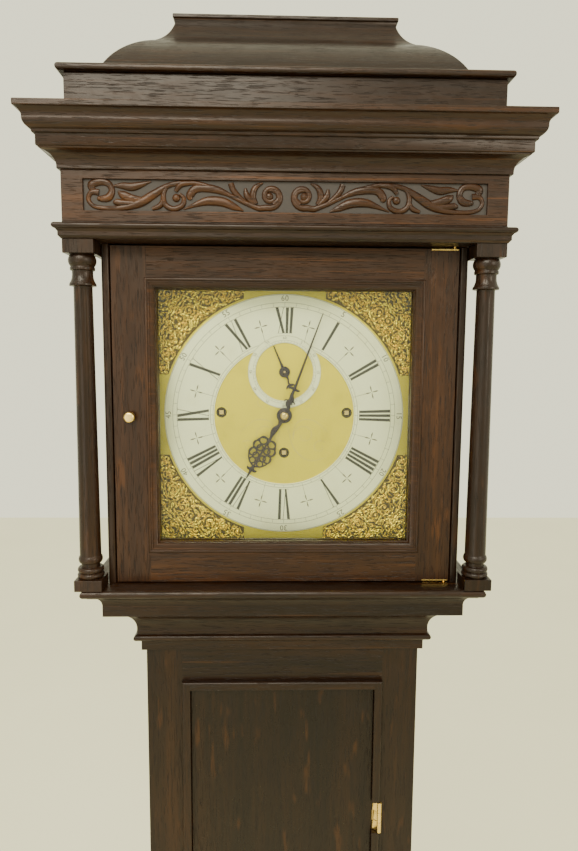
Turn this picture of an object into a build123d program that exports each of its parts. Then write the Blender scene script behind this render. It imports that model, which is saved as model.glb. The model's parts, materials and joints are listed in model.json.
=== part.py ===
from build123d import *
from math import atan2, cos, pi, radians, sin, sqrt
import os

# English oak longcase clock: flat-top hood with a caddy, square brass dial and a
# three-train weight-driven movement with a seconds pendulum.
# Frame: millimetres, +Z up, front of the clock towards -Y, origin on the floor at
# the middle of the whole outline.

os.makedirs("parts", exist_ok=True)

# ---- driving dimensions: heights from the floor up ----
plinth_height = 470.0
base_moulding_height = 50.0
trunk_height = 889.0
throat_height = 61.5
platform_height = 36.5
column_height = 376.0
architrave_height = 17.8
frieze_height = 50.8
cornice_height = 56.4
caddy_box_height = 39.0
caddy_slab_height = 7.5
caddy_dome_height = 87.5
caddy_fillet_height = 8.0

# ---- driving dimensions: widths and depths ----
hood_width = 460.0          # across the frieze
hood_depth = 257.0          # frieze face to the wall
cornice_projection = 34.0   # beyond the frieze, front and sides
trunk_width = 332.0
trunk_setback = 72.0        # frieze face to trunk face
plinth_width = 424.0
plinth_setback = 26.0       # frieze face to plinth face
dial_size = 305.0

# ---- driving dimensions: boards and joinery ----
case_board = 16.0
back_board = 15.0
front_board = 20.0
frieze_board_thickness = 18.0
hood_side_board = 8.5
hood_side_inset = 31.5      # frieze face to hood side board
caddy_board = 12.0
roof_board = 8.0
caddy_inset = 4.5           # frieze face to caddy box
skirting_height = 70.0
skirting_projection = 9.0
floor_gap = 20.0            # under the bottom board and the backboard
frame_overlap = 60.0        # trunk boards run down inside the plinth
trunk_stile = 43.0          # trunk corner to the outside of the door lip
trunk_door_margin = 41.0    # above and below the door lip
door_lip = 10.3
door_lip_rise = 8.0
lip_lap = 1.5               # lip seated on the door board
door_gap = 2.0
hood_door_gap = 1.5
hood_door_setback = 28.0    # frieze face to hood door face
hood_door_thickness = 20.0
sight_overlap = 11.5        # dial hidden behind the door frame, each edge
sight_chamfer = 8.5
glass_thickness = 2.5
glass_edge = 5.0            # glass held inside the frame
mask_thickness = 10.0
mask_lap = 2.5              # dial edge covered by the mask
dial_setback = 10.5         # back of the mask to the dial
carving_depth = 3.0
carving_margin_side = 22.2
carving_margin_bottom = 10.8
carving_margin_top = 8.7
slide_clearance = 0.5       # hood platform around the trunk
rest_clearance = 0.3        # between wooden faces of two moving bodies
mitre_gap = 0.1             # glue line of a mitred corner
column_inset = 15.5         # frieze face to column axis
platform_inset = 6.0        # frieze end to the end of the hood's bottom moulding
column_radius_low = 11.5
column_radius_high = 9.7
knob_radius = 6.0
knob_from_edge = 18.5

# ---- driving dimensions: dial and hands ----
dial_thickness = 2.5
ring_thickness = 1.6
chapter_margin = 12.5       # dial edge to chapter ring
chapter_width = 58.25
seconds_drop = 50.6         # seconds centre above the dial centre
seconds_outer = 42.5
seconds_inner = 33.5
spandrel_thickness = 3.0
spandrel_clearance = 2.5
dial_foot = 24.0            # back of the dial to the front plate
minute_hand_length = 126.0
hour_hand_length = 88.0
seconds_hand_length = 33.0
hand_thickness = 1.2
seconds_hand_thickness = 0.7
minute_hand_angle = 20.3
hour_hand_angle = 211.0
seconds_hand_angle = 337.0

# ---- driving dimensions: movement ----
plate_thickness = 3.0
plate_spacing = 64.0
plate_edge = 24.5           # winding drum to the end of the plates
plate_top = 95.0
plate_bottom = 98.0
seatboard_thickness = 20.0
winding_side = 73.5
winding_rise = 3.0
winding_drop = 44.7
winding_hole_radius = 5.3
winding_square = 5.0
barrel_radius = 20.0
barrel_length = 38.0
barrel_flange = 4.0
arbor_radius = 1.5
barrel_arbor_radius = 3.0
running_clearance = 0.05
train_module = 0.85
motion_module = 0.55
line_radius = 0.8
weight_radius = 28.0
weight_length = 200.0
weight_low = 250.0          # underside of a run-down weight above the floor
pendulum_length = 994.0
pendulum_rod_radius = 2.5
bob_radius = 55.0
bob_thickness = 26.0
bell_radius = 42.0
great_teeth = 96
centre_leaves = 8
centre_teeth = 60
third_leaves = 8
third_teeth = 56
escape_leaves = 7
escape_teeth = 30
escape_radius = 19.0
cannon_teeth = 24
minute_teeth = 72
minute_leaves = 14
hour_teeth = 56

# ---- places worked out from them ----
wall = (hood_depth + cornice_projection) / 2
hood_half = hood_width / 2
plate_half_width = winding_side + barrel_radius + plate_edge
hood_front = wall - hood_depth
trunk_half = trunk_width / 2
trunk_front = hood_front + trunk_setback
plinth_half = plinth_width / 2
plinth_front = hood_front + plinth_setback
base_top = plinth_height + base_moulding_height
throat_bottom = base_top + trunk_height
throat_top = throat_bottom + throat_height
platform_top = throat_top + platform_height
soffit = platform_top + column_height
architrave_top = soffit + architrave_height
frieze_top = architrave_top + frieze_height
cornice_top = frieze_top + cornice_height
caddy_box_top = cornice_top + caddy_box_height
caddy_slab_top = caddy_box_top + caddy_slab_height
caddy_dome_top = caddy_slab_top + caddy_dome_height
case_top = caddy_dome_top + caddy_fillet_height

hood_side_face = hood_half - hood_side_inset
hood_inner_half = hood_side_face - hood_side_board
hood_door_half = hood_inner_half - hood_door_gap
hood_door_front = hood_front + hood_door_setback
hood_door_back = hood_door_front + hood_door_thickness
hood_door_bottom = platform_top + 2.0
hood_door_top = soffit - 2.0
mask_front = hood_door_back + 3.5
dial_z = (hood_door_bottom + hood_door_top) / 2
dial_front = mask_front + mask_thickness + dial_setback
dial_back = dial_front + dial_thickness
ring_front = dial_front - ring_thickness
sight_half = dial_size / 2 - sight_overlap
chapter_radius = dial_size / 2 - chapter_margin
chapter_inner = chapter_radius - chapter_width
front_plate = dial_back + dial_foot
front_plate_back = front_plate + plate_thickness
back_plate = front_plate_back + plate_spacing
back_plate_back = back_plate + plate_thickness
seat_top = dial_z - plate_bottom
seat_bottom = seat_top - seatboard_thickness
seconds_hand_y = ring_front - 0.7
hour_hand_y = seconds_hand_y - seconds_hand_thickness - 2.1
minute_hand_y = hour_hand_y - hand_thickness - 2.6

# gear train: centres in the plane of the dial, measured from the centre arbor
great_module = 2 * winding_drop / (great_teeth + centre_leaves)
third_reach = train_module * (centre_teeth + third_leaves) / 2
escape_reach = train_module * (third_teeth + escape_leaves) / 2
third_rise = (third_reach**2 - escape_reach**2 + seconds_drop**2) / (2 * seconds_drop)
third_offset = sqrt(third_reach**2 - third_rise**2)
anchor_rise = seconds_drop + escape_radius * sqrt(2) + 0.15
motion_reach = motion_module * (cannon_teeth + minute_teeth) / 2
hour_module = 2 * motion_reach / (hour_teeth + minute_leaves)
great_y = front_plate_back + 4.0
barrel_y = front_plate_back + 10.0
barrel_middle = barrel_y + barrel_length / 2
escape_y = front_plate_back + 18.0
third_y = front_plate_back + 34.0
centre_y = front_plate_back + 54.0
pendulum_y = back_plate_back + 22.0
pendulum_pivot = dial_z + anchor_rise
weight_centres = (
    (-winding_side, winding_rise),
    (0.0, -winding_drop),
    (winding_side, winding_rise),
)
pulley_axis_above = 66.0    # weight shell top to pulley axis
pulley_axis = weight_low + weight_length + pulley_axis_above

# tooth form: addendum, dedendum in modules; widths at pitch, tip, root as shares of a tooth space
wheel_form = (0.95, 1.5, 0.40, 0.14, 0.44)
pinion_form = (0.65, 1.6, 0.34, 0.16, 0.26)


# ---- shared shapes ----
def save(piece, name):
    """Label a finished piece and write it as its own file."""
    piece.part.label = name
    export_step(piece.part, f"parts/{name}.step")


def board(x_span, y_span, z_span, mode=Mode.ADD):
    """A squared board between two corners."""
    middle = [(low + high) / 2 for low, high in (x_span, y_span, z_span)]
    size = [high - low for low, high in (x_span, y_span, z_span)]
    with Locations(tuple(middle)):
        Box(*size, mode=mode)


def arbor(radius, x, z, y_front, y_back, mode=Mode.ADD):
    """A round bar that runs from front to back."""
    with Locations((x, (y_front + y_back) / 2, z)):
        Cylinder(radius, y_back - y_front, rotation=(90, 0, 0), mode=mode)


def post(radius, x, y, z_low, z_high, mode=Mode.ADD):
    """An upright round bar."""
    with Locations((x, y, (z_low + z_high) / 2)):
        Cylinder(radius, z_high - z_low, mode=mode)


def facing(y, x=0.0, z=0.0, turn=0.0):
    """A plane seen from the front; turn is clockwise, in degrees, as on a dial."""
    angle = radians(turn)
    return Plane(origin=(x, y, z), x_dir=(cos(angle), 0, -sin(angle)), z_dir=(0, -1, 0))


def toothed_outline(teeth, module, form, towards):
    """Gear outline whose tooth (or gap, for a pinion) faces the angle towards."""
    addendum, dedendum, at_pitch, at_tip, at_root = form
    radius = module * teeth / 2
    flank = (
        (radius - dedendum * module, -at_root),
        (radius, -at_pitch),
        (radius + addendum * module, -at_tip),
        (radius + addendum * module, at_tip),
        (radius, at_pitch),
        (radius - dedendum * module, at_root),
    )
    outline = []
    for tooth in range(teeth):
        middle = towards + 2 * pi * tooth / teeth
        for reach, share in flank:
            angle = middle + share * pi * module / 2 / reach
            outline.append((reach * cos(angle), reach * sin(angle)))
    return outline


def moulding_run(section, plane, length, mitres):
    """One straight run of a moulding, cut to its mitres."""
    with BuildPart() as run:
        with BuildSketch(plane) as profile:
            with BuildLine():
                section()
            make_face()
        extrude(amount=length)
        for mitre in mitres:
            split(bisect_by=mitre, keep=Keep.TOP)
    return run


def mitred_moulding(section, half_width, front, reach):
    """A moulding across the front and back along both sides to the wall.

    section draws the closed outline in (outwards, up) with its zero on the board face;
    reach is how far it stands beyond that face.
    """
    inward = Vector(-1, 1, 0).normalized()
    across = Vector(1, 1, 0).normalized()
    corner = Vector(half_width, front, 0)
    front_plane = Plane(
        origin=(half_width + reach + 1, front, 0), x_dir=(0, -1, 0), z_dir=(-1, 0, 0)
    )
    side_plane = Plane(origin=(half_width, wall, 0), x_dir=(1, 0, 0), z_dir=(0, -1, 0))
    right_mitre = Plane(origin=corner - across * (mitre_gap / 2), x_dir=inward, z_dir=-across)
    left_mitre = Plane(
        origin=Vector(-half_width, front, 0) + Vector(1, -1, 0).normalized() * (mitre_gap / 2),
        x_dir=across,
        z_dir=Vector(1, -1, 0).normalized(),
    )
    side_mitre = Plane(origin=corner + across * (mitre_gap / 2), x_dir=inward, z_dir=across)
    front_run = moulding_run(
        section, front_plane, 2 * (half_width + reach + 1), (right_mitre, left_mitre)
    )
    side_run = moulding_run(section, side_plane, wall - front + reach + 1, (side_mitre,))
    with BuildPart() as moulding:
        add(front_run.part)
        add(side_run.part)
        mirror(side_run.part, about=Plane.YZ)
    return moulding


# ---- plinth and trunk ----
def skirting_section():
    top_bead = skirting_height - 12.0
    Polyline((0, 0), (skirting_projection, 0), (skirting_projection, top_bead))
    ThreePointArc(
        (skirting_projection, top_bead),
        (skirting_projection - 2.0, skirting_height - 4.0),
        (2.0, skirting_height),
    )
    Polyline((2.0, skirting_height), (0, skirting_height), (0, 0))


def base_moulding_section():
    inner = -max(plinth_half - trunk_half, trunk_front - plinth_front)
    bead = 9.0
    cove_low = (-1.0, plinth_height + bead + 2.0)
    cove_high = (inner + 5.0, base_top - 5.0)
    cove_mid = (
        cove_low[0] - (cove_low[0] - cove_high[0]) * 0.72,
        cove_high[1] - (cove_high[1] - cove_low[1]) * 0.72,
    )
    Polyline((inner, plinth_height), (1.5, plinth_height))
    ThreePointArc(
        (1.5, plinth_height), (1.5 + bead / 2, plinth_height + bead / 2), (1.5, plinth_height + bead)
    )
    Polyline((1.5, plinth_height + bead), (1.5, cove_low[1]), cove_low)
    ThreePointArc(cove_low, cove_mid, cove_high)
    Polyline(cove_high, (inner + 5.0, base_top), (inner, base_top), (inner, plinth_height))


def throat_section():
    bead_radius = 4.0
    bead_middle = throat_bottom + 17.5
    cove_low = (9.5, bead_middle + bead_radius + 3.5)
    cove_high = (30.0, throat_top - 9.0)
    cove_mid = (
        cove_high[0] - (cove_high[0] - cove_low[0]) * 0.72,
        cove_low[1] + (cove_high[1] - cove_low[1]) * 0.72,
    )
    Polyline((0, throat_bottom), (5.0, throat_bottom), (5.0, throat_bottom + 11.0))
    Polyline((5.0, throat_bottom + 11.0), (9.0, bead_middle - bead_radius))
    ThreePointArc(
        (9.0, bead_middle - bead_radius),
        (9.0 + bead_radius, bead_middle),
        (9.0, bead_middle + bead_radius),
    )
    Polyline((9.0, bead_middle + bead_radius), (9.0, cove_low[1]), cove_low)
    ThreePointArc(cove_low, cove_mid, cove_high)
    Polyline(cove_high, (30.0, throat_top), (0, throat_top), (0, throat_bottom))


with BuildPart() as plinth_boards:
    inside_half = plinth_half - case_board
    inside_front = plinth_front + case_board
    board((-plinth_half, plinth_half), (plinth_front, inside_front), (0, plinth_height))
    for side in (-1, 1):
        side_span = sorted((side * inside_half, side * plinth_half))
        board(side_span, (inside_front + mitre_gap, wall), (0, plinth_height))
    board(
        (mitre_gap - inside_half, inside_half - mitre_gap),
        (inside_front + mitre_gap, wall - back_board - mitre_gap),
        (floor_gap, floor_gap + case_board),
    )
save(plinth_boards, "plinth_boards")

skirting = mitred_moulding(skirting_section, plinth_half, plinth_front, skirting_projection)
save(skirting, "skirting")

base_run = mitred_moulding(base_moulding_section, plinth_half, plinth_front, 6.0)
with BuildPart() as base_moulding:
    add(base_run.part)
    board(
        (-trunk_half, trunk_half), (trunk_front, wall + 1), (plinth_height - 1, base_top + 1),
        mode=Mode.SUBTRACT,
    )
save(base_moulding, "base_moulding")

trunk_inside = trunk_half - case_board
trunk_frame_back = trunk_front + front_board
trunk_foot = plinth_height - frame_overlap
with BuildPart() as trunk_sides:
    for side in (-1, 1):
        side_span = sorted((side * trunk_inside, side * trunk_half))
        board(side_span, (trunk_frame_back + mitre_gap, wall), (trunk_foot, seat_bottom))
    board(
        (-trunk_half - 1, trunk_half + 1),
        (wall - back_board - mitre_gap, wall + 1),
        (platform_top + 1, seat_bottom + 1),
        mode=Mode.SUBTRACT,
    )
save(trunk_sides, "trunk_sides")

lip_half = trunk_half - trunk_stile
lip_bottom = base_top + trunk_door_margin
lip_top = throat_bottom - trunk_door_margin
field_half = lip_half - door_lip
door_board_half = field_half + lip_lap
opening_half = door_board_half + door_gap
field_bottom = lip_bottom + door_lip
field_top = lip_top - door_lip
with BuildPart() as trunk_front_frame:
    board((-trunk_half, trunk_half), (trunk_front, trunk_frame_back), (trunk_foot, platform_top - 2))
    board(
        (-opening_half, opening_half),
        (trunk_front - 1, trunk_frame_back + 1),
        (field_bottom - lip_lap - door_gap, field_top + lip_lap + door_gap),
        mode=Mode.SUBTRACT,
    )
save(trunk_front_frame, "trunk_front_frame")

throat_moulding = mitred_moulding(throat_section, trunk_half, trunk_front, 30.0)
save(throat_moulding, "throat_moulding")

backboard_face = wall - back_board
with BuildPart() as backboard:
    wide_low = plinth_half - case_board - mitre_gap
    wide_high = hood_inner_half - 3.0
    narrow = trunk_inside - mitre_gap
    board((-wide_low, wide_low), (backboard_face, wall), (floor_gap, trunk_foot - 1))
    board((-narrow, narrow), (backboard_face, wall), (trunk_foot - 2, platform_top + 3))
    board((-wide_high, wide_high), (backboard_face, wall), (platform_top + 2, soffit - 5))
save(backboard, "backboard")

# the seatboard rests on the tops of the trunk sides and carries the movement
line_offset = barrel_radius + line_radius + rest_clearance
slot_width = 8.0
knot_hole = 2.0
with BuildPart() as seatboard:
    board(
        (-trunk_half, trunk_half),
        (front_plate - 17.0, back_plate_back + 9.0),
        (seat_bottom, seat_top),
    )
    for centre_x, _ in weight_centres:
        slot_x = centre_x - line_offset
        board(
            (slot_x - slot_width / 2, slot_x + slot_width / 2),
            (barrel_y, barrel_y + barrel_length),
            (seat_bottom - 1, seat_top + 1),
            mode=Mode.SUBTRACT,
        )
        post(
            knot_hole, centre_x + line_offset, barrel_middle, seat_bottom - 1, seat_top + 1,
            mode=Mode.SUBTRACT,
        )
save(seatboard, "seatboard")

# ---- trunk door ----
lip_back = trunk_front - rest_clearance
lip_front = lip_back - door_lip_rise
door_face = lip_back - 2.0
door_back = trunk_frame_back - 2.0
hinge_length = 40.0
hinge_inset = 181.0
hinge_leaf = 0.9
hinge_leaf_width = 17.0
knuckle_radius = 2.8
hinge_pin_radius = 1.3
hinge_x = lip_half - 0.5
hinge_y = lip_back - 5.7
hinge_middles = (lip_bottom + hinge_inset, lip_top - hinge_inset)


def hinge_web(leaf_middle, z_low, z_high):
    """The strip of hinge plate between a leaf and its knuckle."""
    half = hinge_leaf / 2
    bend_y = trunk_front - 0.4
    with BuildSketch(Plane.XY.offset(z_low)) as web:
        Polygon(
            (leaf_middle - half, bend_y),
            (leaf_middle + half, bend_y),
            (hinge_x + half, hinge_y),
            (hinge_x - half, hinge_y),
            align=None,
        )
    extrude(web.sketch, amount=z_high - z_low)


with BuildPart() as trunk_door_panel:
    board(
        (-door_board_half, door_board_half),
        (lip_back, door_back),
        (field_bottom - lip_lap, field_top + lip_lap),
    )
    board((-field_half, field_half), (door_face, lip_back), (field_bottom, field_top))
    chamfer(trunk_door_panel.edges().group_by(Axis.Y)[0], 0.8)
    arbor(2.0, -field_half + 14.0, (field_bottom + field_top) / 2, door_face - 1, door_back + 1,
          mode=Mode.SUBTRACT)
save(trunk_door_panel, "trunk_door_panel")

with BuildPart() as trunk_door_moulding:
    board((-lip_half, lip_half), (lip_front, lip_back), (lip_bottom, lip_top))
    fillet(trunk_door_moulding.edges().group_by(Axis.Y)[0], 3.0)
    board(
        (-field_half, field_half), (lip_front - 1, lip_back + 1), (field_bottom, field_top),
        mode=Mode.SUBTRACT,
    )
    for middle in hinge_middles:
        board(
            (field_half, lip_half + 1),
            (lip_front - 1, lip_back + 1),
            (middle - hinge_length / 2 - 0.5, middle + hinge_length / 2 + 0.5),
            mode=Mode.SUBTRACT,
        )
save(trunk_door_moulding, "trunk_door_moulding")

# each hinge has three knuckles: the outer two turn with the door, the middle one is fixed
knuckle = hinge_length / 3
frame_leaf_middle = opening_half - hinge_leaf / 2
door_leaf_middle = door_board_half + hinge_leaf / 2
with BuildPart() as trunk_hinge_leaves:
    for middle in hinge_middles:
        low = middle - knuckle / 2 + rest_clearance
        high = middle + knuckle / 2 - rest_clearance
        board(
            (opening_half - hinge_leaf, opening_half),
            (trunk_front - 0.4, trunk_front + hinge_leaf_width),
            (middle - hinge_length / 2, middle + hinge_length / 2),
        )
        hinge_web(frame_leaf_middle, low, high)
        post(knuckle_radius, hinge_x, hinge_y, low, high)
        post(
            hinge_pin_radius, hinge_x, hinge_y, middle - hinge_length / 2, middle + hinge_length / 2
        )
save(trunk_hinge_leaves, "trunk_hinge_leaves")

with BuildPart() as trunk_door_leaves:
    for middle in hinge_middles:
        board(
            (door_board_half, door_board_half + hinge_leaf),
            (trunk_front - 0.4, trunk_front + hinge_leaf_width),
            (middle - hinge_length / 2, middle + hinge_length / 2),
        )
        for low, high in (
            (middle - hinge_length / 2, middle - knuckle / 2),
            (middle + knuckle / 2, middle + hinge_length / 2),
        ):
            hinge_web(door_leaf_middle, low, high)
            post(knuckle_radius, hinge_x, hinge_y, low, high)
        post(
            hinge_pin_radius + running_clearance, hinge_x, hinge_y,
            middle - hinge_length / 2 - 1, middle + hinge_length / 2 + 1,
            mode=Mode.SUBTRACT,
        )
save(trunk_door_leaves, "trunk_door_leaves")

lock_x = -field_half + 14.0
lock_z = (field_bottom + field_top) / 2
with BuildPart() as trunk_door_lock:
    with BuildSketch(facing(door_face, lock_x, lock_z)) as escutcheon:
        Ellipse(9.0, 15.0)
        Circle(2.0, mode=Mode.SUBTRACT)
    extrude(escutcheon.sketch, amount=1.2)
    board((lock_x - 13, lock_x + 25), (door_back, door_back + 8.0), (lock_z - 24, lock_z + 24))
    arbor(2.0, lock_x, lock_z, door_back - 1, door_back + 5.0, mode=Mode.SUBTRACT)
save(trunk_door_lock, "trunk_door_lock")


# ---- hood ----
def platform_section():
    inner = -max(trunk_setback, hood_half - trunk_half) - 3.0
    bead = 9.0
    fillet_face = -19.6
    bead_low = platform_top - bead
    cove_low = (fillet_face, throat_top + 11.5)
    cove_high = (-6.5, bead_low - 1.5)
    cove_mid = (
        cove_high[0] - (cove_high[0] - cove_low[0]) * 0.72,
        cove_low[1] + (cove_high[1] - cove_low[1]) * 0.72,
    )
    rest = throat_top + rest_clearance
    Polyline((inner, rest), (fillet_face, rest), cove_low)
    ThreePointArc(cove_low, cove_mid, cove_high)
    Polyline(cove_high, (-6.5, bead_low), (-bead / 2, bead_low))
    ThreePointArc((-bead / 2, bead_low), (0, bead_low + bead / 2), (-bead / 2, platform_top))
    Polyline((-bead / 2, platform_top), (inner, platform_top), (inner, rest))


def architrave_section():
    inner = -(hood_door_setback + hood_door_thickness + 3.5 + mask_thickness + 0.5)
    Polyline((inner, soffit), (1.0, soffit), (3.7, soffit + 3.0), (3.7, soffit + 7.0))
    Polyline((3.7, soffit + 7.0), (5.7, soffit + 9.7))
    ThreePointArc((5.7, soffit + 9.7), (8.6, soffit + 12.65), (5.7, soffit + 15.6))
    Polyline((5.7, soffit + 15.6), (0, soffit + 15.6), (0, architrave_top), (inner, architrave_top))
    Polyline((inner, architrave_top), (inner, soffit))


def cornice_section():
    inner = -frieze_board_thickness
    fillet_low = cornice_top - 6.0
    cyma_low = fillet_low - 17.6
    step_low = cyma_low - 3.2
    fascia_low = step_low - 11.5
    cove_high = (cornice_projection - 18.0, fascia_low - 1.7)
    cove_low = (3.0, frieze_top + 1.7)
    cove_mid = (
        cove_high[0] - (cove_high[0] - cove_low[0]) * 0.71,
        cove_low[1] + (cove_high[1] - cove_low[1]) * 0.71,
    )
    fascia = cornice_projection - 15.9
    step = cornice_projection - 13.2
    cyma_start = (cornice_projection - 12.0, cyma_low)
    cyma_middle = (cornice_projection - 6.5, (cyma_low + fillet_low) / 2)
    cyma_end = (cornice_projection - 1.0, fillet_low)
    Polyline((inner, frieze_top), (3.0, frieze_top), cove_low)
    ThreePointArc(cove_low, cove_mid, cove_high)
    Polyline(cove_high, (cove_high[0], fascia_low), (fascia, fascia_low), (fascia, step_low))
    Polyline((fascia, step_low), (step, step_low), (step, cyma_low), cyma_start)
    ThreePointArc(
        cyma_start,
        (cyma_start[0] + 4.2, cyma_start[1] + 3.6),
        cyma_middle,
    )
    ThreePointArc(
        cyma_middle,
        (cyma_end[0] - 4.2, cyma_end[1] - 3.6),
        cyma_end,
    )
    Polyline(cyma_end, (cornice_projection, fillet_low), (cornice_projection, cornice_top))
    Polyline((cornice_projection, cornice_top), (inner, cornice_top), (inner, frieze_top))


def caddy_section():
    inner = -120.0
    dome_foot = (-30.0, caddy_slab_top)
    crown = (-83.0, caddy_slab_top + caddy_dome_height * 0.67)
    neck = (-103.4, caddy_dome_top - 1.0)
    ovolo_mid = (-46.9, caddy_slab_top + caddy_dome_height * 0.345)
    cove_mid = (
        crown[0] + (neck[0] - crown[0]) * 0.66,
        crown[1] + (neck[1] - crown[1]) * 0.48,
    )
    Polyline((inner, caddy_slab_top), dome_foot)
    ThreePointArc(dome_foot, ovolo_mid, crown)
    ThreePointArc(crown, cove_mid, neck)
    fillet_low = case_top - 4.0
    Polyline(neck, (-102.6, fillet_low - 0.6), (-101.0, fillet_low), (-101.0, case_top))
    Polyline((-101.0, case_top), (inner, case_top))
    Polyline((inner, case_top), (inner, caddy_slab_top))


door_pin_radius = 1.5
strap_thickness = 1.6
strap_length = 26.0
strap_depth = 9.0
door_pin_x = hood_door_half - 4.5
door_pin_y = hood_door_front + 3.0
strap_x = (door_pin_x - strap_length, door_pin_x + 3.5)
strap_y = (hood_door_front, hood_door_front + strap_depth)
low_plate_z = (platform_top - strap_thickness, platform_top)
high_plate_z = (soffit, soffit + strap_thickness)
low_strap_z = (hood_door_bottom, hood_door_bottom + strap_thickness)
high_strap_z = (hood_door_top - strap_thickness, hood_door_top)
pin_socket = door_pin_radius + 0.5

platform_run = mitred_moulding(platform_section, hood_half - platform_inset, hood_front, 1.0)
with BuildPart() as hood_base_frame:
    add(platform_run.part)
    board(
        (-trunk_half - slide_clearance, trunk_half + slide_clearance),
        (trunk_front - slide_clearance, wall + 1),
        (throat_top - 1, platform_top + 1),
        mode=Mode.SUBTRACT,
    )
    board(strap_x, strap_y, low_plate_z, mode=Mode.SUBTRACT)
    post(pin_socket, door_pin_x, door_pin_y, platform_top - 7, platform_top, mode=Mode.SUBTRACT)
save(hood_base_frame, "hood_base_frame")

with BuildPart() as hood_sides:
    for side in (-1, 1):
        side_span = sorted((side * hood_inner_half, side * hood_side_face))
        board(side_span, (hood_door_front, wall), (platform_top, soffit))
    fillet(hood_sides.edges().filter_by(Axis.Z).group_by(Axis.Y)[0], 2.5)
save(hood_sides, "hood_sides")

mask_half = dial_size / 2 - mask_lap
with BuildPart() as hood_mask:
    board(
        (-hood_inner_half, hood_inner_half),
        (mask_front, mask_front + mask_thickness),
        (platform_top, soffit),
    )
    board(
        (-mask_half, mask_half),
        (mask_front - 1, mask_front + mask_thickness + 1),
        (dial_z - mask_half, dial_z + mask_half),
        mode=Mode.SUBTRACT,
    )
save(hood_mask, "hood_mask")

architrave_run = mitred_moulding(architrave_section, hood_half, hood_front, 8.6)
with BuildPart() as architrave_moulding:
    add(architrave_run.part)
    board(strap_x, strap_y, high_plate_z, mode=Mode.SUBTRACT)
    post(pin_socket, door_pin_x, door_pin_y, soffit, soffit + 7, mode=Mode.SUBTRACT)
save(architrave_moulding, "architrave_moulding")

with BuildPart() as frieze_board:
    frieze_back = hood_front + frieze_board_thickness
    board((-hood_half, hood_half), (hood_front, frieze_back), (architrave_top, frieze_top))
    board(
        (carving_margin_side - hood_half, hood_half - carving_margin_side),
        (hood_front - 1, hood_front + carving_depth),
        (architrave_top + carving_margin_bottom, frieze_top - carving_margin_top),
        mode=Mode.SUBTRACT,
    )
    for side in (-1, 1):
        side_span = sorted((side * (hood_half - frieze_board_thickness), side * hood_half))
        board(side_span, (frieze_back + mitre_gap, wall), (architrave_top, frieze_top))
save(frieze_board, "frieze_board")

cornice_moulding = mitred_moulding(cornice_section, hood_half, hood_front, cornice_projection)
save(cornice_moulding, "cornice_moulding")

roof_half = hood_half - frieze_board_thickness
with BuildPart() as hood_top_board:
    board(
        (-roof_half, roof_half),
        (hood_front + frieze_board_thickness, wall),
        (cornice_top - roof_board, cornice_top),
    )
save(hood_top_board, "hood_top_board")

caddy_half = hood_half - caddy_inset
slab_half = hood_half + 2.0
with BuildPart() as caddy_box:
    caddy_front = hood_front + caddy_inset
    board((-caddy_half, caddy_half), (caddy_front, wall), (cornice_top, caddy_box_top))
    board(
        (caddy_board - caddy_half, caddy_half - caddy_board),
        (caddy_front + caddy_board, wall - caddy_board),
        (cornice_top, caddy_box_top),
        mode=Mode.SUBTRACT,
    )
    with BuildSketch(Plane.XY.offset(caddy_box_top + mitre_gap)) as slab_outline:
        with Locations((0, (hood_front - 2.0 + wall) / 2)):
            Rectangle(2 * slab_half, wall - hood_front + 2.0)
    extrude(slab_outline.sketch, amount=caddy_slab_height - mitre_gap)
    slab_edges = caddy_box.edges().filter_by_position(Axis.Z, caddy_box_top + 0.05, caddy_slab_top)
    front_edges = slab_edges.filter_by(Axis.X).group_by(Axis.Y)[0]
    side_edges = slab_edges.filter_by(Axis.Y)
    fillet(front_edges + side_edges, caddy_slab_height / 2 - 0.4)
save(caddy_box, "caddy_box")

caddy_run = mitred_moulding(caddy_section, hood_half, hood_front, -30.0)
with BuildPart() as caddy_top:
    add(caddy_run.part)
    well_half = hood_half - 120.0 - mitre_gap
    well_front = hood_front + 120.0 + mitre_gap
    board((-well_half, well_half), (well_front, wall), (caddy_dome_top, case_top))
    board((-well_half, well_half), (wall - caddy_board, wall), (caddy_slab_top, caddy_dome_top))
save(caddy_top, "caddy_top")

# ---- hood columns: square base block, double torus, swelling shaft, square cap ----
block_height = 12.5
abacus_height = 13.0
torus = column_height - abacus_height - 1.0
with BuildPart() as column:
    with BuildSketch(Plane.XZ) as turned_outline:
        with BuildLine():
            Polyline((0, block_height), (12.5, block_height))
            ThreePointArc((12.5, block_height), (14.5, block_height + 3.1), (12.5, block_height + 6.2))
            ThreePointArc(
                (12.5, block_height + 6.2), (14.2, block_height + 9.3), (12.5, block_height + 12.4)
            )
            Polyline((12.5, block_height + 12.4), (10.0, block_height + 12.4))
            Polyline((10.0, block_height + 12.4), (10.0, 29.5), (11.6, 29.5))
            ThreePointArc((11.6, 29.5), (13.0, 33.5), (11.6, 37.5))
            Polyline((11.6, 37.5), (column_radius_low, 38.5), (column_radius_high, torus - 33.0))
            Polyline((column_radius_high, torus - 33.0), (14.0, torus - 32.4), (14.0, torus - 30.4))
            ThreePointArc((14.0, torus - 30.4), (11.7, torus - 26.0), (10.8, torus - 20.0))
            Polyline((10.8, torus - 20.0), (10.8, torus - 16.8), (12.8, torus - 16.2))
            Polyline((12.8, torus - 16.2), (12.8, torus - 13.0), (12.0, torus - 12.4))
            ThreePointArc((12.0, torus - 12.4), (14.5, torus - 6.2), (12.0, torus))
            Polyline((12.0, torus), (0, torus), (0, block_height))
        make_face()
    revolve(axis=Axis.Z)
    with Locations((0, 0, block_height / 2)):
        Box(30.0, 30.0, block_height)
    with Locations((0, 0, column_height - (abacus_height + 1.0) / 2)):
        Box(32.0, 32.0, abacus_height + 1.0)

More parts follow.
